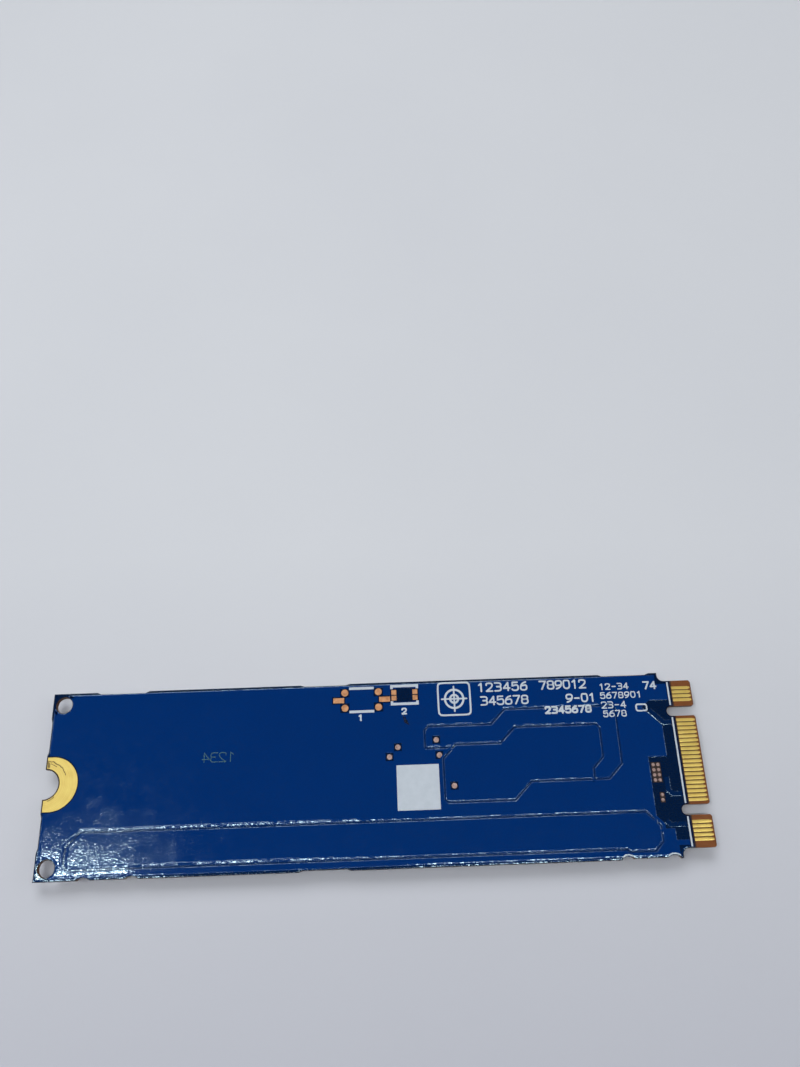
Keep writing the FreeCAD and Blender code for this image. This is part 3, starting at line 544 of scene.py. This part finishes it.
long_pour = [(3.4, -7.3), (5.0, -5.7), (72.15, -5.7), (73.75, -7.3), (73.75, -9.12), (72.75, -10.12),
             (69.65, -10.12), (69.38, -9.85), (3.9, -9.85), (3.4, -9.35)]
arm_loop = [(46.25, 2.65), (46.25, 4.85), (46.7, 5.3), (54.5, 5.3), (56.3, 7.1), (69.65, 7.1), (70.1, 6.65),
            (70.1, 0.03), (68.35, -1.72), (66.6, -1.72), (66.6, -0.42), (67.9, 0.88), (67.9, 4.4),
            (67.45, 4.85), (57.38, 4.85), (55.5, 2.97), (49.92, 2.97), (49.6, 2.65)]
inner_pour = [(66.5, -1.72), (58.9, -1.72), (56.8, -3.82), (48.8, -3.82), (48.4, -3.42), (48.4, 1.37),
              (49.95, 2.92)]
# line, closed or open, lean of the bank, widths of its facet in millimetres
groove_lines = [(long_pour, True, 0.105, 0.25, 0.13), (arm_loop, True, 0.17, 0.08, 0.08),
                (inner_pour, False, 0.13, 0.08, 0.08)]
grooves = [groove(line, closed, lean, near * MM, far * MM) for line, closed, lean, near, far in groove_lines]
make_piece("lacquer_grooves", groove_lacquer, grooves)

# %% [markdown]
# ## Scars of the snapped tabs
# The card was one of many in a panel, held by tabs that were snapped off. A plain stub leaves a low
# trapezoid in the edge, and where a router ran beside the tab it left two round bites. The depth of the
# edge below its straight line is worked out here once, because the lip of the lacquer and the edge of the
# copper both follow it.

# %% Depth of the scars along an edge
card_half = side_y / MM
router_radius, scar_slope = 1.0, 0.5
# middle, length, depth of the stub, depth of the bites
top_scars = [(8.65, 6.5, 0.25, 0.0), (34.0, 6.2, 0.16, 0.0), (71.65, 6.4, 0.2, 0.0)]
bottom_scars = [(8.6, 7.2, 0.03, 0.37), (33.9, 6.2, 0.17, 0.0), (72.15, 7.1, 0.12, 0.45)]
end_scars = [(5.65, 4.5, 0.15, 0.0), (-5.6, 4.4, 0.15, 0.0)]


def bite_reach(bite):
    """Half the chord of a router's bite of this depth."""
    return math.sqrt(router_radius ** 2 - (router_radius - bite) ** 2)


def scar_depth(along, scars, inset):
    """Depth of a line drawn inside the edge by an inset: stubs with sloped ends, and circles of bites."""
    depth = np.full_like(along, inset)
    for middle, length, stub, bite in scars:
        off = np.abs(along - middle)
        depth = np.maximum(depth, inset + stub * np.clip((length / 2 + inset - off) / scar_slope, 0, 1))
        circle = (router_radius + inset) ** 2 - (off - length / 2 + bite_reach(bite)) ** 2
        depth = np.maximum(depth, np.sqrt(np.clip(circle, 0, None)) - router_radius + bite) if bite else depth
    return depth


print("deepest scar, mm:", max(scar[-1] for scar in bottom_scars))

# %% [markdown]
# ## Edges of the copper
# The copper stops short of the card's edge, and the lacquer drops there from copper height to film
# height. The drop is a soft slope with a low bead behind it, where the wet lacquer drew back. The bead
# stands well at the mount end and past the middle of the card, which is where the photograph shows it
# glint.

# %% Edges of the copper fields
land, step_width, rim_bead = 0.26 * MM, 0.13 * MM, 0.012 * MM
land_columns, fall_columns, fall_wander = 12, 8, 0.1
bead_ends, bead_shares = (12, 18, 42, 48), (1.0, 0.35, 0.35, 1.0)


def slope(path, closed, top, foot, width, beaded):
    """Soft fall to the right of a path, from top to foot over a width, and by a share a bead on its left."""
    rows = len(path)
    flat = np.linspace(land, 0, land_columns, endpoint=False)
    across = np.concatenate([flat, np.linspace(0, -width, fall_columns)])
    reach = np.clip(width * (1 + wander(rows, fall_wander)), 0.6 * width, width)
    fall = smooth(-across / reach)
    share = np.interp((path[:, :1] - mount_x) / MM, bead_ends, bead_shares)
    share = beaded * share * (1 + wander(rows, bead_wander))
    bead = rim_bead * share * np.clip(1 - np.abs(across / land - 0.5) * 2, 0, 1)
    under = min(hidden_z, foot - 0.02 * MM)
    up = top + (foot - top) * fall + lift + bead
    return carried(path, closed, *closed_under(across, up, under)), closed


def copper_edge(points, beaded):
    """Where the copper ends and the lacquer drops to the laminate; copper on the left."""
    return slope(divided(on_card(points), path_spacing), False, face_z, film_z, step_width, beaded)


hole_x, hole_y, hole_clear = 1.4, 9.55, 1.16
copper_rim, copper_end, copper_inset, edge_step = 0.36, 75.54, 0.08, 0.16
copper_side = card_half - copper_rim
left_turn = math.pi - math.acos((hole_x - copper_rim) / hole_clear)
low_turn = -math.asin((copper_side - hole_y) / hole_clear)
hole_arc = on_circle(hole_x, -hole_y, hole_clear, np.linspace(left_turn, low_turn, 28))


def copper_line(scars):
    """Near edge of the copper: round the tooling hole, then along the side and inside its scars."""
    along = np.arange(hole_arc[-1, 0] + edge_step, copper_end, edge_step)
    side = np.stack([along, np.maximum(copper_rim, scar_depth(along, scars, copper_inset)) - card_half], 1)
    return np.vstack([[(copper_rim, -3.6)], hole_arc, side, [(copper_end, -copper_side)]])


bay_edge = [(76.85, -9.05), (75.3, -9.05), (75.3, -7.75), (73.3, -7.75), (73.3, 0.72), (75.6, 0.72),
            (75.6, 4.4), (73.3, 6.7), (74.4, 7.62), (76.85, 7.62)]
far_edge = copper_line(top_scars)[::-1] * (1, -1)
edge_lines = [(copper_line(bottom_scars), 1.0), (far_edge, 0.0), (bay_edge, 0.4)]
copper_edges = [copper_edge(line, beaded) for line, beaded in edge_lines]
make_piece("lacquer_edges", lacquer, copper_edges)

# %% [markdown]
# ## Traces in the bay
# Behind the contacts the copper stops in a bay of bare laminate, which a few traces cross. A trace is a
# groove the other way up: copper height along the middle and film height beside it, under the same soft
# skin.

# %% Traces that cross the bare bay
trace_half, trace_columns, trace_wander = 0.225 * MM, 15, 0.005 * MM


def trace(points):
    """Ridge along a line: copper height on the trace, film height beside it."""
    path = divided(on_card(points), path_spacing)
    across = np.linspace(-trace_half - step_width, trace_half + step_width, trace_columns)
    rise = smooth((trace_half + step_width - np.abs(across)) / step_width)
    up = film_z + (face_z - film_z) * rise + lift + (1 - rise) * rise * wander(len(path), trace_wander)
    return carried(path, False, *closed_under(across, up)), False


edge_traces = [trace(line) for line in (
    [(74.33, 6.32), (75.9, 4.75), (76.85, 4.75)],
    [(75.25, -1.77), (75.25, -3.32), (75.7, -3.77), (76.85, -3.77)],
    [(74.45, -6.82), (74.9, -7.27), (76.85, -7.27)],
)]
make_piece("lacquer_traces", trace_lacquer, edge_traces)

# %% [markdown]
# ## Rim of the lacquer
# Along the routed edge the lacquer ends in a round lip, a little inside the laminate, and it follows the
# scars. It is the same soft slope, from film height down to the laminate.

# %% Rim along the card's edges
rim_inset, rim_width, pad_reach = 0.06, 0.055 * MM, 3.3
shoulder, tongue_half, shoulder_fillet, mask_front = 75.9, 9.925, 0.75, 77.35


def rim(points, beaded):
    """Lip of the lacquer along a line of card places, with the card on its left."""
    return slope(on_card(points), False, film_z, laminate_z, rim_width, beaded)


def shoulder_arc(side):
    """Concave fillet between the shoulder and the tongue: a quarter circle, wider by the inset of the rim."""
    turn = np.linspace(0, math.pi / 2, 12)
    radius = shoulder_fillet + rim_inset
    x = shoulder + shoulder_fillet - radius * np.cos(turn)
    return np.stack([x, side * (tongue_half + shoulder_fillet - radius * np.sin(turn))], 1)


def rim_run(end_line, side_line, side):
    """Line of the rim from the notch round a corner, along a side and into the tongue."""
    front = (mask_front, side * (tongue_half - rim_inset))
    return np.vstack([end_line, side_line, shoulder_arc(side), [front]])


along_x = np.arange(rim_inset, shoulder - rim_inset, edge_step)
bottom_line = np.stack([along_x, scar_depth(along_x, bottom_scars, rim_inset) - card_half], 1)
top_line = np.stack([along_x, card_half - scar_depth(along_x, top_scars, rim_inset)], 1)
along_y = np.arange(pad_reach, card_half - rim_inset, edge_step)
end_upper = np.stack([scar_depth(along_y, end_scars, rim_inset), along_y], 1)
end_lower = np.stack([scar_depth(-along_y, end_scars, rim_inset), -along_y], 1)
lower_run, upper_run = rim_run(end_lower, bottom_line, -1), rim_run(end_upper, top_line, 1)[::-1]
make_piece("lacquer_rims", lacquer, [rim(lower_run, 1.0), rim(upper_run, 0.0)])

# %% [markdown]
# ## Crowned contacts
# Plated copper grows round at its edges, so each finger is a low crown rather than a flat strip, and it
# narrows to a nose at the tip. The gaps between the fingers get thin dark strips, a painted shade. A
# crown is a half circle of profile, flattened, whose width follows the finger.

# %% Crowns of the contacts
contact_pitch, contact_half, nose_half = 0.25, 0.175, 0.09
contact_root, contact_neck, contact_front = 77.5, 79.5, 79.8
crown_height, crown_foot, crown_columns = 0.014 * MM, 0.01 * MM, 11
before_neck, past_neck, crown_sharp = 8, 6, 60.0
key_gaps, middle_finger = [(12, 19), (59, 66)], 38
contact_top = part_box("upper_edge_contacts")[1].z


def fingers(first):
    """Numbers of every second contact, without those that the key slots take."""
    return np.array([n for n in range(first, 76, 2) if not any(a <= n <= b for a, b in key_gaps)])


finger_y = (fingers(2) - middle_finger) * contact_pitch


def crown(y):
    """Finger's width times the cosine across, and the crown's height times the sine."""
    nose = np.linspace(contact_neck, contact_front, past_neck)[1:]
    along = np.concatenate([np.linspace(contact_root, contact_neck, before_neck), nose])
    half = np.interp(along, [contact_neck, contact_front], [contact_half, nose_half])
    around = np.linspace(0, math.pi, crown_columns)
    across = np.cos(around) * half[:, None] * MM
    up = contact_top + crown_height * np.sin(around) * np.ones((len(along), 1))
    path = on_card(np.stack([along, np.full_like(along, y)], 1))
    return carried(path, False, *closed_under(across, up, contact_top - crown_foot)), False


make_piece("contact_crowns", contact_gold, [crown(y) for y in finger_y], crown_sharp)


# %% Painted shade between the contacts
def gaps_between(places):
    """Middles between neighbours, without the key slots."""
    return (places[1:] + places[:-1])[np.diff(places) < 0.6] / 2


# Dark brown strips in the gaps between the fingers: painted shade.
finger_gap_shade = make_matt("finger_gap_shade", (0.085, 0.045, 0.008), (0.12, 0.066, 0.012), 0.8, 0.3, 0.05, 0.004)
finger_gap_shade_half, finger_gap_shade_height, finger_gap_shade_spacing = 0.068, 0.006 * MM, 0.3 * MM


def finger_gap_shade_line(y):
    """Low bed of painted shade along a gap, whose height falls from the middle as a cosine does."""
    path = divided(on_card([(contact_root + 0.1, y), (contact_front - 0.15, y)]), finger_gap_shade_spacing)
    across = np.linspace(-finger_gap_shade_half, finger_gap_shade_half, 5) * MM
    up = laminate_z + finger_gap_shade_height * np.cos(across / across[-1] * 1.4) * np.ones((len(path), 1))
    return carried(path, False, *closed_under(across, up, laminate_z - lift)), False


make_piece("contact_gap_shade", finger_gap_shade, [finger_gap_shade_line(y) for y in gaps_between(finger_y)])

# %% [markdown]
# ## Print
# Board print is drawn with one round pen, so every mark here is a stroke: a low pillow of ink carried
# along a line, with round ends. The marks are plain numbers, a tick box and a register target. Blender's
# own text could make the numbers, but a face of type has flat ends and far more points than these
# strokes.

# %% Strokes of ink
ink_rise = ink_z - face_z
pillow = np.array([0.0, 0.75, 1.0, 0.75, 0.0])
stroke_spacing, cap_start, cap_rows = 0.08 * MM, 0.15, 5


def stroke(points, width, base=face_z, closed=False, rise=1.0, foot=None):
    """Pillow of ink along a line; the last half width of an open line narrows as a circle does."""
    path = divided(np.asarray(points), stroke_spacing, closed)
    share = np.ones(len(path))
    if not closed:
        turn = np.linspace(cap_start, math.pi / 2, cap_rows)
        round_off, cap = np.sin(turn), np.cos(turn)[:, None] * width / 2
        start = path[0] - (path[1] - path[0]) / np.linalg.norm(path[1] - path[0]) * cap
        end = path[-1] + (path[-1] - path[-2]) / np.linalg.norm(path[-1] - path[-2]) * cap
        path = np.vstack([start[:-1], path, end[:-1][::-1]])
        share = np.concatenate([round_off[:-1], share, round_off[:-1][::-1]])
    across = np.linspace(-0.5, 0.5, len(pillow)) * width * share[:, None]
    up = base + rise * ink_rise * pillow * share[:, None] + lift
    return carried(path, closed, *closed_under(across, up, foot or base - lift)), closed


def rounded(points, rounds=2, closed=False):
    """Corners cut twice: each run keeps its middle half, so bends turn round."""
    line = np.asarray(points, float)
    for _ in range(rounds):
        ahead = np.roll(line, -1, 0) if closed else line[1:]
        here = line if closed else line[:-1]
        cut = np.stack([0.75 * here + 0.25 * ahead, 0.25 * here + 0.75 * ahead], 1).reshape(-1, 2)
        line = cut if closed else np.vstack([line[:1], cut, line[-1:]])
    return line


print("rise of the ink, mm:", round(ink_rise / MM, 3))

# %% [markdown]
# ## Numbers
# Plotted numerals are bent lines, and each one here is a few pen strokes in a box 0.6 wide and 1 high,
# with its corners cut round. A table says where each row of numbers starts and how large it is.

# %% Numerals and rows of numbers
six = [[(0.52, 1.0), (0.2, 0.86), (0.0, 0.5), (0.0, 0.0), (0.6, 0.0), (0.6, 0.6), (0.3, 0.6), (0.02, 0.5)]]
numerals = {
    "0": [[(0.3, 1.0), (0.0, 1.0), (0.0, 0.0), (0.6, 0.0), (0.6, 1.0), (0.3, 1.0)]],
    "1": [[(0.12, 0.8), (0.34, 1.0)], [(0.34, 1.0), (0.34, 0.0)]],
    "2": [[(0.0, 0.76), (0.02, 1.0), (0.58, 1.0), (0.6, 0.55), (0.0, 0.0)], [(0.0, 0.0), (0.6, 0.0)]],
    "3": [[(0.0, 1.0), (0.6, 1.0), (0.6, 0.52), (0.2, 0.53)],
          [(0.2, 0.53), (0.6, 0.53), (0.6, 0.0), (0.0, 0.0)]],
    "4": [[(0.45, 0.0), (0.45, 1.0)], [(0.45, 1.0), (0.0, 0.3)], [(0.0, 0.3), (0.62, 0.3)]],
    "5": [[(0.55, 1.0), (0.06, 1.0)], [(0.06, 1.0), (0.03, 0.56)],
          [(0.03, 0.56), (0.6, 0.72), (0.62, 0.0), (0.1, -0.02), (0.0, 0.14)]],
    "6": six,
    "7": [[(0.0, 1.0), (0.6, 1.0)], [(0.6, 1.0), (0.2, 0.0)]],
    "8": [[(0.3, 0.53), (0.02, 0.53), (0.02, 1.0), (0.58, 1.0), (0.58, 0.53), (0.3, 0.53)],
          [(0.3, 0.53), (0.0, 0.53), (0.0, 0.0), (0.6, 0.0), (0.6, 0.53), (0.3, 0.53)]],
    "9": [[(0.6 - x, 1.0 - y) for x, y in six[0]]],
    "-": [[(0.08, 0.48), (0.52, 0.48)]],
}
letter_width = 1.25


def numbers(text, x, y, height, pitch, width, base=face_z, mirrored=False):
    """Row of numerals from a left foot place, in millimetres, one pitch apart."""
    made = []
    step = -1 if mirrored else 1
    for place, sign in enumerate(text):
        for pen in numerals[sign]:
            line = rounded(pen) * (step * letter_width * height, height)
            made.append(stroke(on_card(line + (x + step * place * pitch, y)), width * MM, base))
    return made


text_pen, bold_pen, small_pen = 0.2, 0.24, 0.145
# text, left foot, height, pitch, pen
number_rows = [
    ("123456", 53.2, 9.43, 1.0, 1.08, text_pen), ("789012", 61.0, 9.43, 1.0, 1.0, text_pen),
    ("345678", 53.5, 7.73, 1.0, 1.02, text_pen), ("9-01", 64.2, 7.7, 0.95, 0.95, text_pen),
    ("2345678", 61.45, 6.4, 0.77, 0.84, bold_pen), ("74", 74.05, 9.03, 0.85, 0.86, text_pen),
    ("12-34", 68.5, 9.12, 0.7, 0.76, small_pen), ("5678901", 68.5, 8.0, 0.7, 0.76, small_pen),
    ("23-4", 68.5, 6.78, 0.76, 0.8, small_pen), ("5678", 68.6, 5.72, 0.7, 0.76, small_pen),
    ("1", 38.15, 6.35, 0.66, 1.0, text_pen), ("2", 43.6, 6.98, 0.66, 1.0, text_pen),
]
prints = [mark for row in number_rows for mark in numbers(*row)]
make_piece("printed_numbers", ink, prints)

# %% [markdown]
# ## Marks and layer numbers
# A register target shows how well the print lies on the copper, and a tick box is left for the tester.
# The layer numbers belong to a layer below: they show faintly through the lacquer, and mirrored. They are
# strokes as well, in a faint ink and nearly flush.

# %% Register target, tick box and layer numbers
def frame_line(x0, x1, y0, y1, corner):
    """Closed rectangle of card places with corners cut round."""
    points = [(x0 + corner, y0), (x1 - corner, y0), (x1, y0 + corner), (x1, y1 - corner), (x1 - corner, y1),
              (x0 + corner, y1), (x0, y1 - corner), (x0, y0 + corner)]
    line = np.asarray(points)
    middle = (line + np.roll(line, -1, 0)) / 2
    return on_card(rounded(np.stack([line, middle], 1).reshape(-1, 2), 2, True))


frame_pen, ring_pen = 0.22, 0.26
target_x, target_y, target_arm = 50.15, 8.62, 1.55
arms = [[(target_x - target_arm, target_y), (target_x + target_arm, target_y)],
        [(target_x, target_y - target_arm), (target_x, target_y + target_arm)]]
rings = [ring_line(target_x, target_y, radius) for radius in (0.5, 1.15)]
marks = [stroke(frame_line(48.15, 52.15, 6.6, 10.65, 0.3), frame_pen * MM, closed=True)]
marks += [stroke(line, ring_pen * MM, closed=True) for line in rings]
marks += [stroke(on_card(line), text_pen * MM) for line in arms]
marks.append(stroke(frame_line(72.75, 74.05, 6.3, 7.1, 0.15), text_pen * MM, closed=True))
make_piece("printed_marks", ink, marks)
make_piece("layer_numbers", faint_ink,
           numbers("1234", 22.9, 1.95, 1.1, 1.02, text_pen, face_z - 0.8 * ink_rise, mirrored=True))

# %% [markdown]
# ## Wear and painted highlights
# A screw head has been turned on the crescent and left broken dark arcs about the notch. Something dark
# was smeared under the narrow footprint. Where the tabs were snapped off, pale arcs along the router's
# bites are painted highlights of the lacquer's rim. Each is a row of short strokes, thinner than the print
# and far flatter.

# %% Rub marks, smear and painted highlights at the tabs
def arc_line(x, y, radius, first, last):
    """Arc on the card between two angles in degrees."""
    return on_card(on_circle(x, y, radius, np.radians(np.linspace(first, last, 9))))


grime = make_matt("grime", (0.12, 0.08, 0.018), (0.2, 0.14, 0.04), 0.7, 0.2, 0.05, 0.002)
smear_finish = make_matt("smear", (0.0005, 0.003, 0.011), (0.0005, 0.006, 0.022), 0.25, 0.2, 0.1, 0.001)
# Pale blue-white arcs along the router's bites: painted highlights of the lacquer's rim.
tab_glint_finish = make_matt("painted_tab_glint", (0.55, 0.62, 0.68), (0.3, 0.38, 0.44), 0.5, 0.15, 0.05, 0.003)
wear_and_glint_rise, rub_pen, smear_pen, tab_glint_pen = 0.15, 0.1 * MM, 0.13 * MM, 0.16 * MM


def worn_arcs(radius, first, last, count):
    """Row of short arcs about the screw from one angle to another, each a little off the radius."""
    return [arc_line(0, 0, radius + rng.normal(0, 0.035), start, start - rng.uniform(3, 7))
            for start in np.linspace(first, last, count)]


rubs = worn_arcs(2.76, 84, 27, 13) + worn_arcs(2.45, 83, 64, 4) + worn_arcs(2.03, -46, -68, 5)
rubs += [on_card([(0.26 + 0.07 * i, 2.02), (0.24 + 0.07 * i, 2.8 - 0.14 * i)]) for i in range(4)]
make_piece("screw_rub_marks", grime,
           [stroke(line, rub_pen, film_z, rise=wear_and_glint_rise) for line in rubs])

smears = [on_card([(43.75 + 0.14 * i + rng.normal(0, 0.04), 6.75 - 0.2 * i),
                   (43.85 + 0.15 * i, 5.95 - 0.1 * i)]) for i in range(4)]
make_piece("smear", smear_finish,
           [stroke(line, smear_pen, face_z, rise=wear_and_glint_rise) for line in smears])

tab_middle, tab_length, _, tab_bite = bottom_scars[-1]
bite_offset, bite_y = tab_length / 2 - bite_reach(tab_bite), tab_bite - router_radius - card_half
tab_glint_radius, tab_glint_z = router_radius + 0.11, face_z + rim_bead
tab_glint_arcs = [arc_line(tab_middle + side * bite_offset, bite_y, tab_glint_radius + rng.normal(0, 0.02),
                    start, start - rng.uniform(10, 17))
           for side in (-1, 1) for start in np.linspace(126, 68, 5)]
make_piece("snapped_tab_glints", tab_glint_finish,
           [stroke(line, tab_glint_pen, tab_glint_z, rise=wear_and_glint_rise, foot=laminate_z) for line in tab_glint_arcs])

# %% [markdown]
# ## Lower face
# This face can't be seen in the photograph, so it gets only what every such card has there. All of it is
# laid out on the upper face with the functions above, and then turned over about the long axis, because
# the two faces are built alike. The contacts come first: the same crowns, half a step along.

# %% Contacts of the lower face
turn_z = core_low.z + core_high.z


def turned_over(piece):
    """The same rings after half a turn about the card's long axis."""
    rings, wrapped = piece
    return rings * (1, -1, -1) + (0, 0, turn_z), wrapped


lower_finger_y = (middle_finger - fingers(1)[::-1]) * contact_pitch
make_piece("lower_contact_crowns", contact_gold,
           [turned_over(crown(y)) for y in lower_finger_y], crown_sharp)
make_piece("lower_contact_gap_shade", finger_gap_shade,
           [turned_over(finger_gap_shade_line(y)) for y in gaps_between(lower_finger_y)])

# %% [markdown]
# ## Traces and vias of the lower face
# Signals run in pairs from the contacts to vias, and rows of vias tie the ground layers together. Under
# lacquer both are only soft ridges, so they are strokes too: a trace is an open line, and a via is a ring
# of eight sides.

# %% Traces and vias of the lower face
pair_middles = (3.5, 2.0, 0.5, -1.0, -2.5)
pair_half = 0.17


def pair_of_traces(place, middle):
    """Two lines from the contacts, drawn closer after a short way; each pair is 0.9 mm shorter."""
    end = 68.4 + 0.9 * place
    return [[(77.2, middle + contact_pitch * side), (76.5, middle + contact_pitch * side),
             (76.4, middle + pair_half * side), (end, middle + pair_half * side),
             (end - 0.15, middle + 0.32 * side)] for side in (-1, 1)]


runs = [line for pair in enumerate(pair_middles) for line in pair_of_traces(*pair)]
make_piece("lower_traces", lower_lacquer,
           [turned_over(stroke(on_card(line), text_pen * MM, rise=1.5)) for line in runs])


def via_grid(xs, ys):
    """Every crossing of two rows of places."""
    return np.stack(np.meshgrid(xs, ys), -1).reshape(-1, 2)


via_places = np.vstack([
    via_grid([5.1, 6.1], np.linspace(-8, 8, 11)), via_grid([22.0], np.linspace(-8, 8, 11)),
    via_grid([52.4], np.linspace(-4.8, 4.8, 7)), via_grid(np.arange(5.0, 75.0, 2.5), [-10.3, 10.3]),
    via_grid([68.6, 70.4, 72.2, 74.0], [-9.0, -7.4, -5.8, -4.2, 5.3, 6.9, 8.5]), [line[-1] for line in runs],
])
via_radius, via_sides, via_width = 0.13, 8, 0.12 * MM
via_rings = [ring_line(x, y, via_radius, via_sides) for x, y in via_places]
make_piece("lower_vias", lower_lacquer,
           [turned_over(stroke(ring, via_width, closed=True, rise=2.0)) for ring in via_rings])

# %% [markdown]
# ## Corner marks and pin-one rings
# Ink at the corners shows the assembler where each package goes, and a shallow ring in the moulding marks
# its first pin. The rings are set from the boxes of the packages in the frame, so they follow the solids.

# %% Corner marks and pin-one rings
def corner_marks(x0, x1, half, arm=1.2):
    """Four right angles about a package that lies even on the centre line."""
    return [on_card([(x + turn * arm, y), (x, y), (x, y - math.copysign(arm, y))])
            for x, turn in ((x0, 1), (x1, -1)) for y in (-half, half)]


# two ends and half the width of each package's marks
marked = [(6.65, 21.35, 9.35), (22.65, 37.35, 9.35), (39.25, 51.95, 6.3), (52.85, 61.05, 5.85)]
corners = [line for package in marked for line in corner_marks(*package)]
corner_pen, pin_pen = 0.15 * MM, 0.14 * MM
make_piece("lower_corner_marks", ink,
           [turned_over(stroke(line, corner_pen)) for line in corners])

mark_grey = make_matt("mould_mark", (0.1, 0.1, 0.105), (0.08, 0.08, 0.085), 0.5, 0.3, 0.05, 0.002)
# node, distance from two of its sides, radius
pin_rings = [("mount_end_flash", 1.4, 0.5), ("middle_flash", 1.4, 0.5), ("controller_package", 1.8, 0.4),
             ("cache_memory", 1.0, 0.35), ("power_manager_body", 0.7, 0.2), ("serial_memory_body", 0.5, 0.15)]


def pin_ring(node, inset, radius):
    """Shallow ring in the corner of a package, on the face that lies downwards."""
    low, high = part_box(node)
    x, y = (low.x - mount_x) / MM + inset, high.y / MM - inset
    return turned_over(stroke(ring_line(x, -y, radius), pin_pen, turn_z - low.z, closed=True, rise=0.1))


make_piece("pin_one_rings", mark_grey, [pin_ring(*ring) for ring in pin_rings])

# %% [markdown]
# ## Floor
# The drive lies on a plain pale sheet that bends up into a wall, so the ground is pale from every side.
# It is a profile turned about the middle. Near the drive the sheet takes light and shadow as paper does, and
# it is painted a little darker towards the near side, a painted shade.
# Farther out it turns black to the light that lamps and bounces bring, and pale to the eye and to
# mirrors, which Light Path tells apart. So the wall looks pale without throwing light on the drive.

# %% Floor
floor_radius, floor_bend, wall_height, floor_sides = 1.1, 0.35, 1.3, 96
floor_z, flat_radius = -0.01 * MM, 0.2
backdrop_start, backdrop_full, backdrop_colour = 0.1, 0.28, (0.565, 0.59, 0.63, 1.0)
near_start, near_end, near_shade = -0.06, 0.03, (0.405, 0.42, 0.485)
floor_finish = make_matt("floor", (0.575, 0.6, 0.643), (0.56, 0.585, 0.63), 0.7, 60, 2, 0.01)
sheet_far = floor_finish.shader.inputs["Base Color"].links[0].from_socket
# The sheet is painted darker towards the near side: painted shade where the light falls off.
near_shade_share = floor_finish.span(floor_finish.axis("Y"), near_start, near_end, 1.0, 0.0)
sheet_near = floor_finish.mix(near_shade_share, sheet_far, near_shade)
squares = [floor_finish.sum("POWER", floor_finish.axis(letter), 2.0) for letter in "XY"]
away = floor_finish.sum("POWER", floor_finish.sum("ADD", *squares), 0.5)
backdrop = floor_finish.span(away, backdrop_start, backdrop_full)
floor_finish.feed("Base Color", floor_finish.mix(backdrop, sheet_near, (0.0, 0.0, 0.0)))
rays = floor_finish.tree.nodes.new("ShaderNodeLightPath").outputs
mirrored = floor_finish.sum("ADD", rays["Is Glossy Ray"], rays["Is Transmission Ray"])
seen = floor_finish.sum("ADD", rays["Is Camera Ray"], mirrored)
floor_finish.feed("Emission Color", backdrop_colour)
floor_finish.feed("Emission Strength", floor_finish.sum("MULTIPLY", backdrop, seen))
floor_finish.material.cycles.emission_sampling = "NONE"


def sheet_rings():
    """Sheet turned about the middle: flat, then a quarter circle upwards, then a wall."""
    bend = np.linspace(0, math.pi / 2, 13)
    reach = np.concatenate([[flat_radius], floor_radius - floor_bend * (1 - np.sin(bend)), [floor_radius]])
    height = np.concatenate([[0.0], floor_bend * (1 - np.cos(bend)), [wall_height]]) + floor_z
    around = np.linspace(0, 2 * math.pi, floor_sides, endpoint=False)
    flat = reach[:, None, None] * np.stack([np.cos(around), np.sin(around)], 1)
    return np.concatenate([flat, np.broadcast_to(height[:, None, None], (*flat.shape[:2], 1))], 2)


sheet = sheet_rings()
floor_mesh = bpy.data.meshes.new("floor")
floor_mesh.from_pydata(sheet.reshape(-1, 3), [], ring_faces(*sheet.shape[:2], False, 0)[:-1])
floor_mesh.shade_smooth()
floor_mesh.materials.append(floor_finish.material)
floor = bpy.data.objects.new("floor", floor_mesh)
bpy.context.scene.collection.objects.link(floor)
print("floor across, metres:", 2 * floor_radius)

# %% [markdown]
# ## Lamps
# A broad lamp behind the drive gives the soft shadow along its near edge, and two on the sides fill it. A
# narrow strip above the near edge is what the slopes of the lacquer throw back as thin bright lines, and
# a small lamp on the left is the glitter in the near corner. Each is given by its brightness, so its size
# can change alone.

# %% Lamps and world
def soft_lamp(name, place, aim, width, height, radiance):
    """Flat lamp whose power follows from its brightness: pi times area times radiance."""
    data = bpy.data.lights.new(name, "AREA")
    data.shape = "RECTANGLE"
    data.size, data.size_y = width, height
    data.energy = math.pi * width * height * radiance
    lamp = bpy.data.objects.new(name, data)
    lamp.location = place
    lamp.rotation_euler = (Vector(aim) - Vector(place)).to_track_quat("-Z", "Y").to_euler()
    bpy.context.scene.collection.objects.link(lamp)
    print(name, "power, W:", round(data.energy, 3))


middle = (0.0, 0.0, 0.0)
soft_lamp("back_lamp", (-0.15, 0.75, 0.85), middle, 0.9, 0.6, 4.6)
soft_lamp("left_lamp", (-0.85, 0.0, 0.65), middle, 0.6, 0.6, 1.25)
soft_lamp("right_lamp", (0.85, 0.1, 0.65), middle, 0.6, 0.6, 1.5)
soft_lamp("strip_lamp", (-0.01, -0.075, 0.467), (-0.01, -0.02, 0.0), 0.48, 0.02, 30.0)
soft_lamp("glint_lamp", (-0.203, -0.008, 0.467), (-0.203, 0.05, 0.0), 0.06, 0.02, 95.0)

world = bpy.data.worlds.new("studio")
world.use_nodes = True
sky = world.node_tree.nodes["Background"].inputs
sky["Color"].default_value = (0.95, 0.98, 1.0, 1.0)
sky["Strength"].default_value = 0.05
bpy.context.scene.world = world
bpy.context.scene.view_settings.view_transform = "Standard"
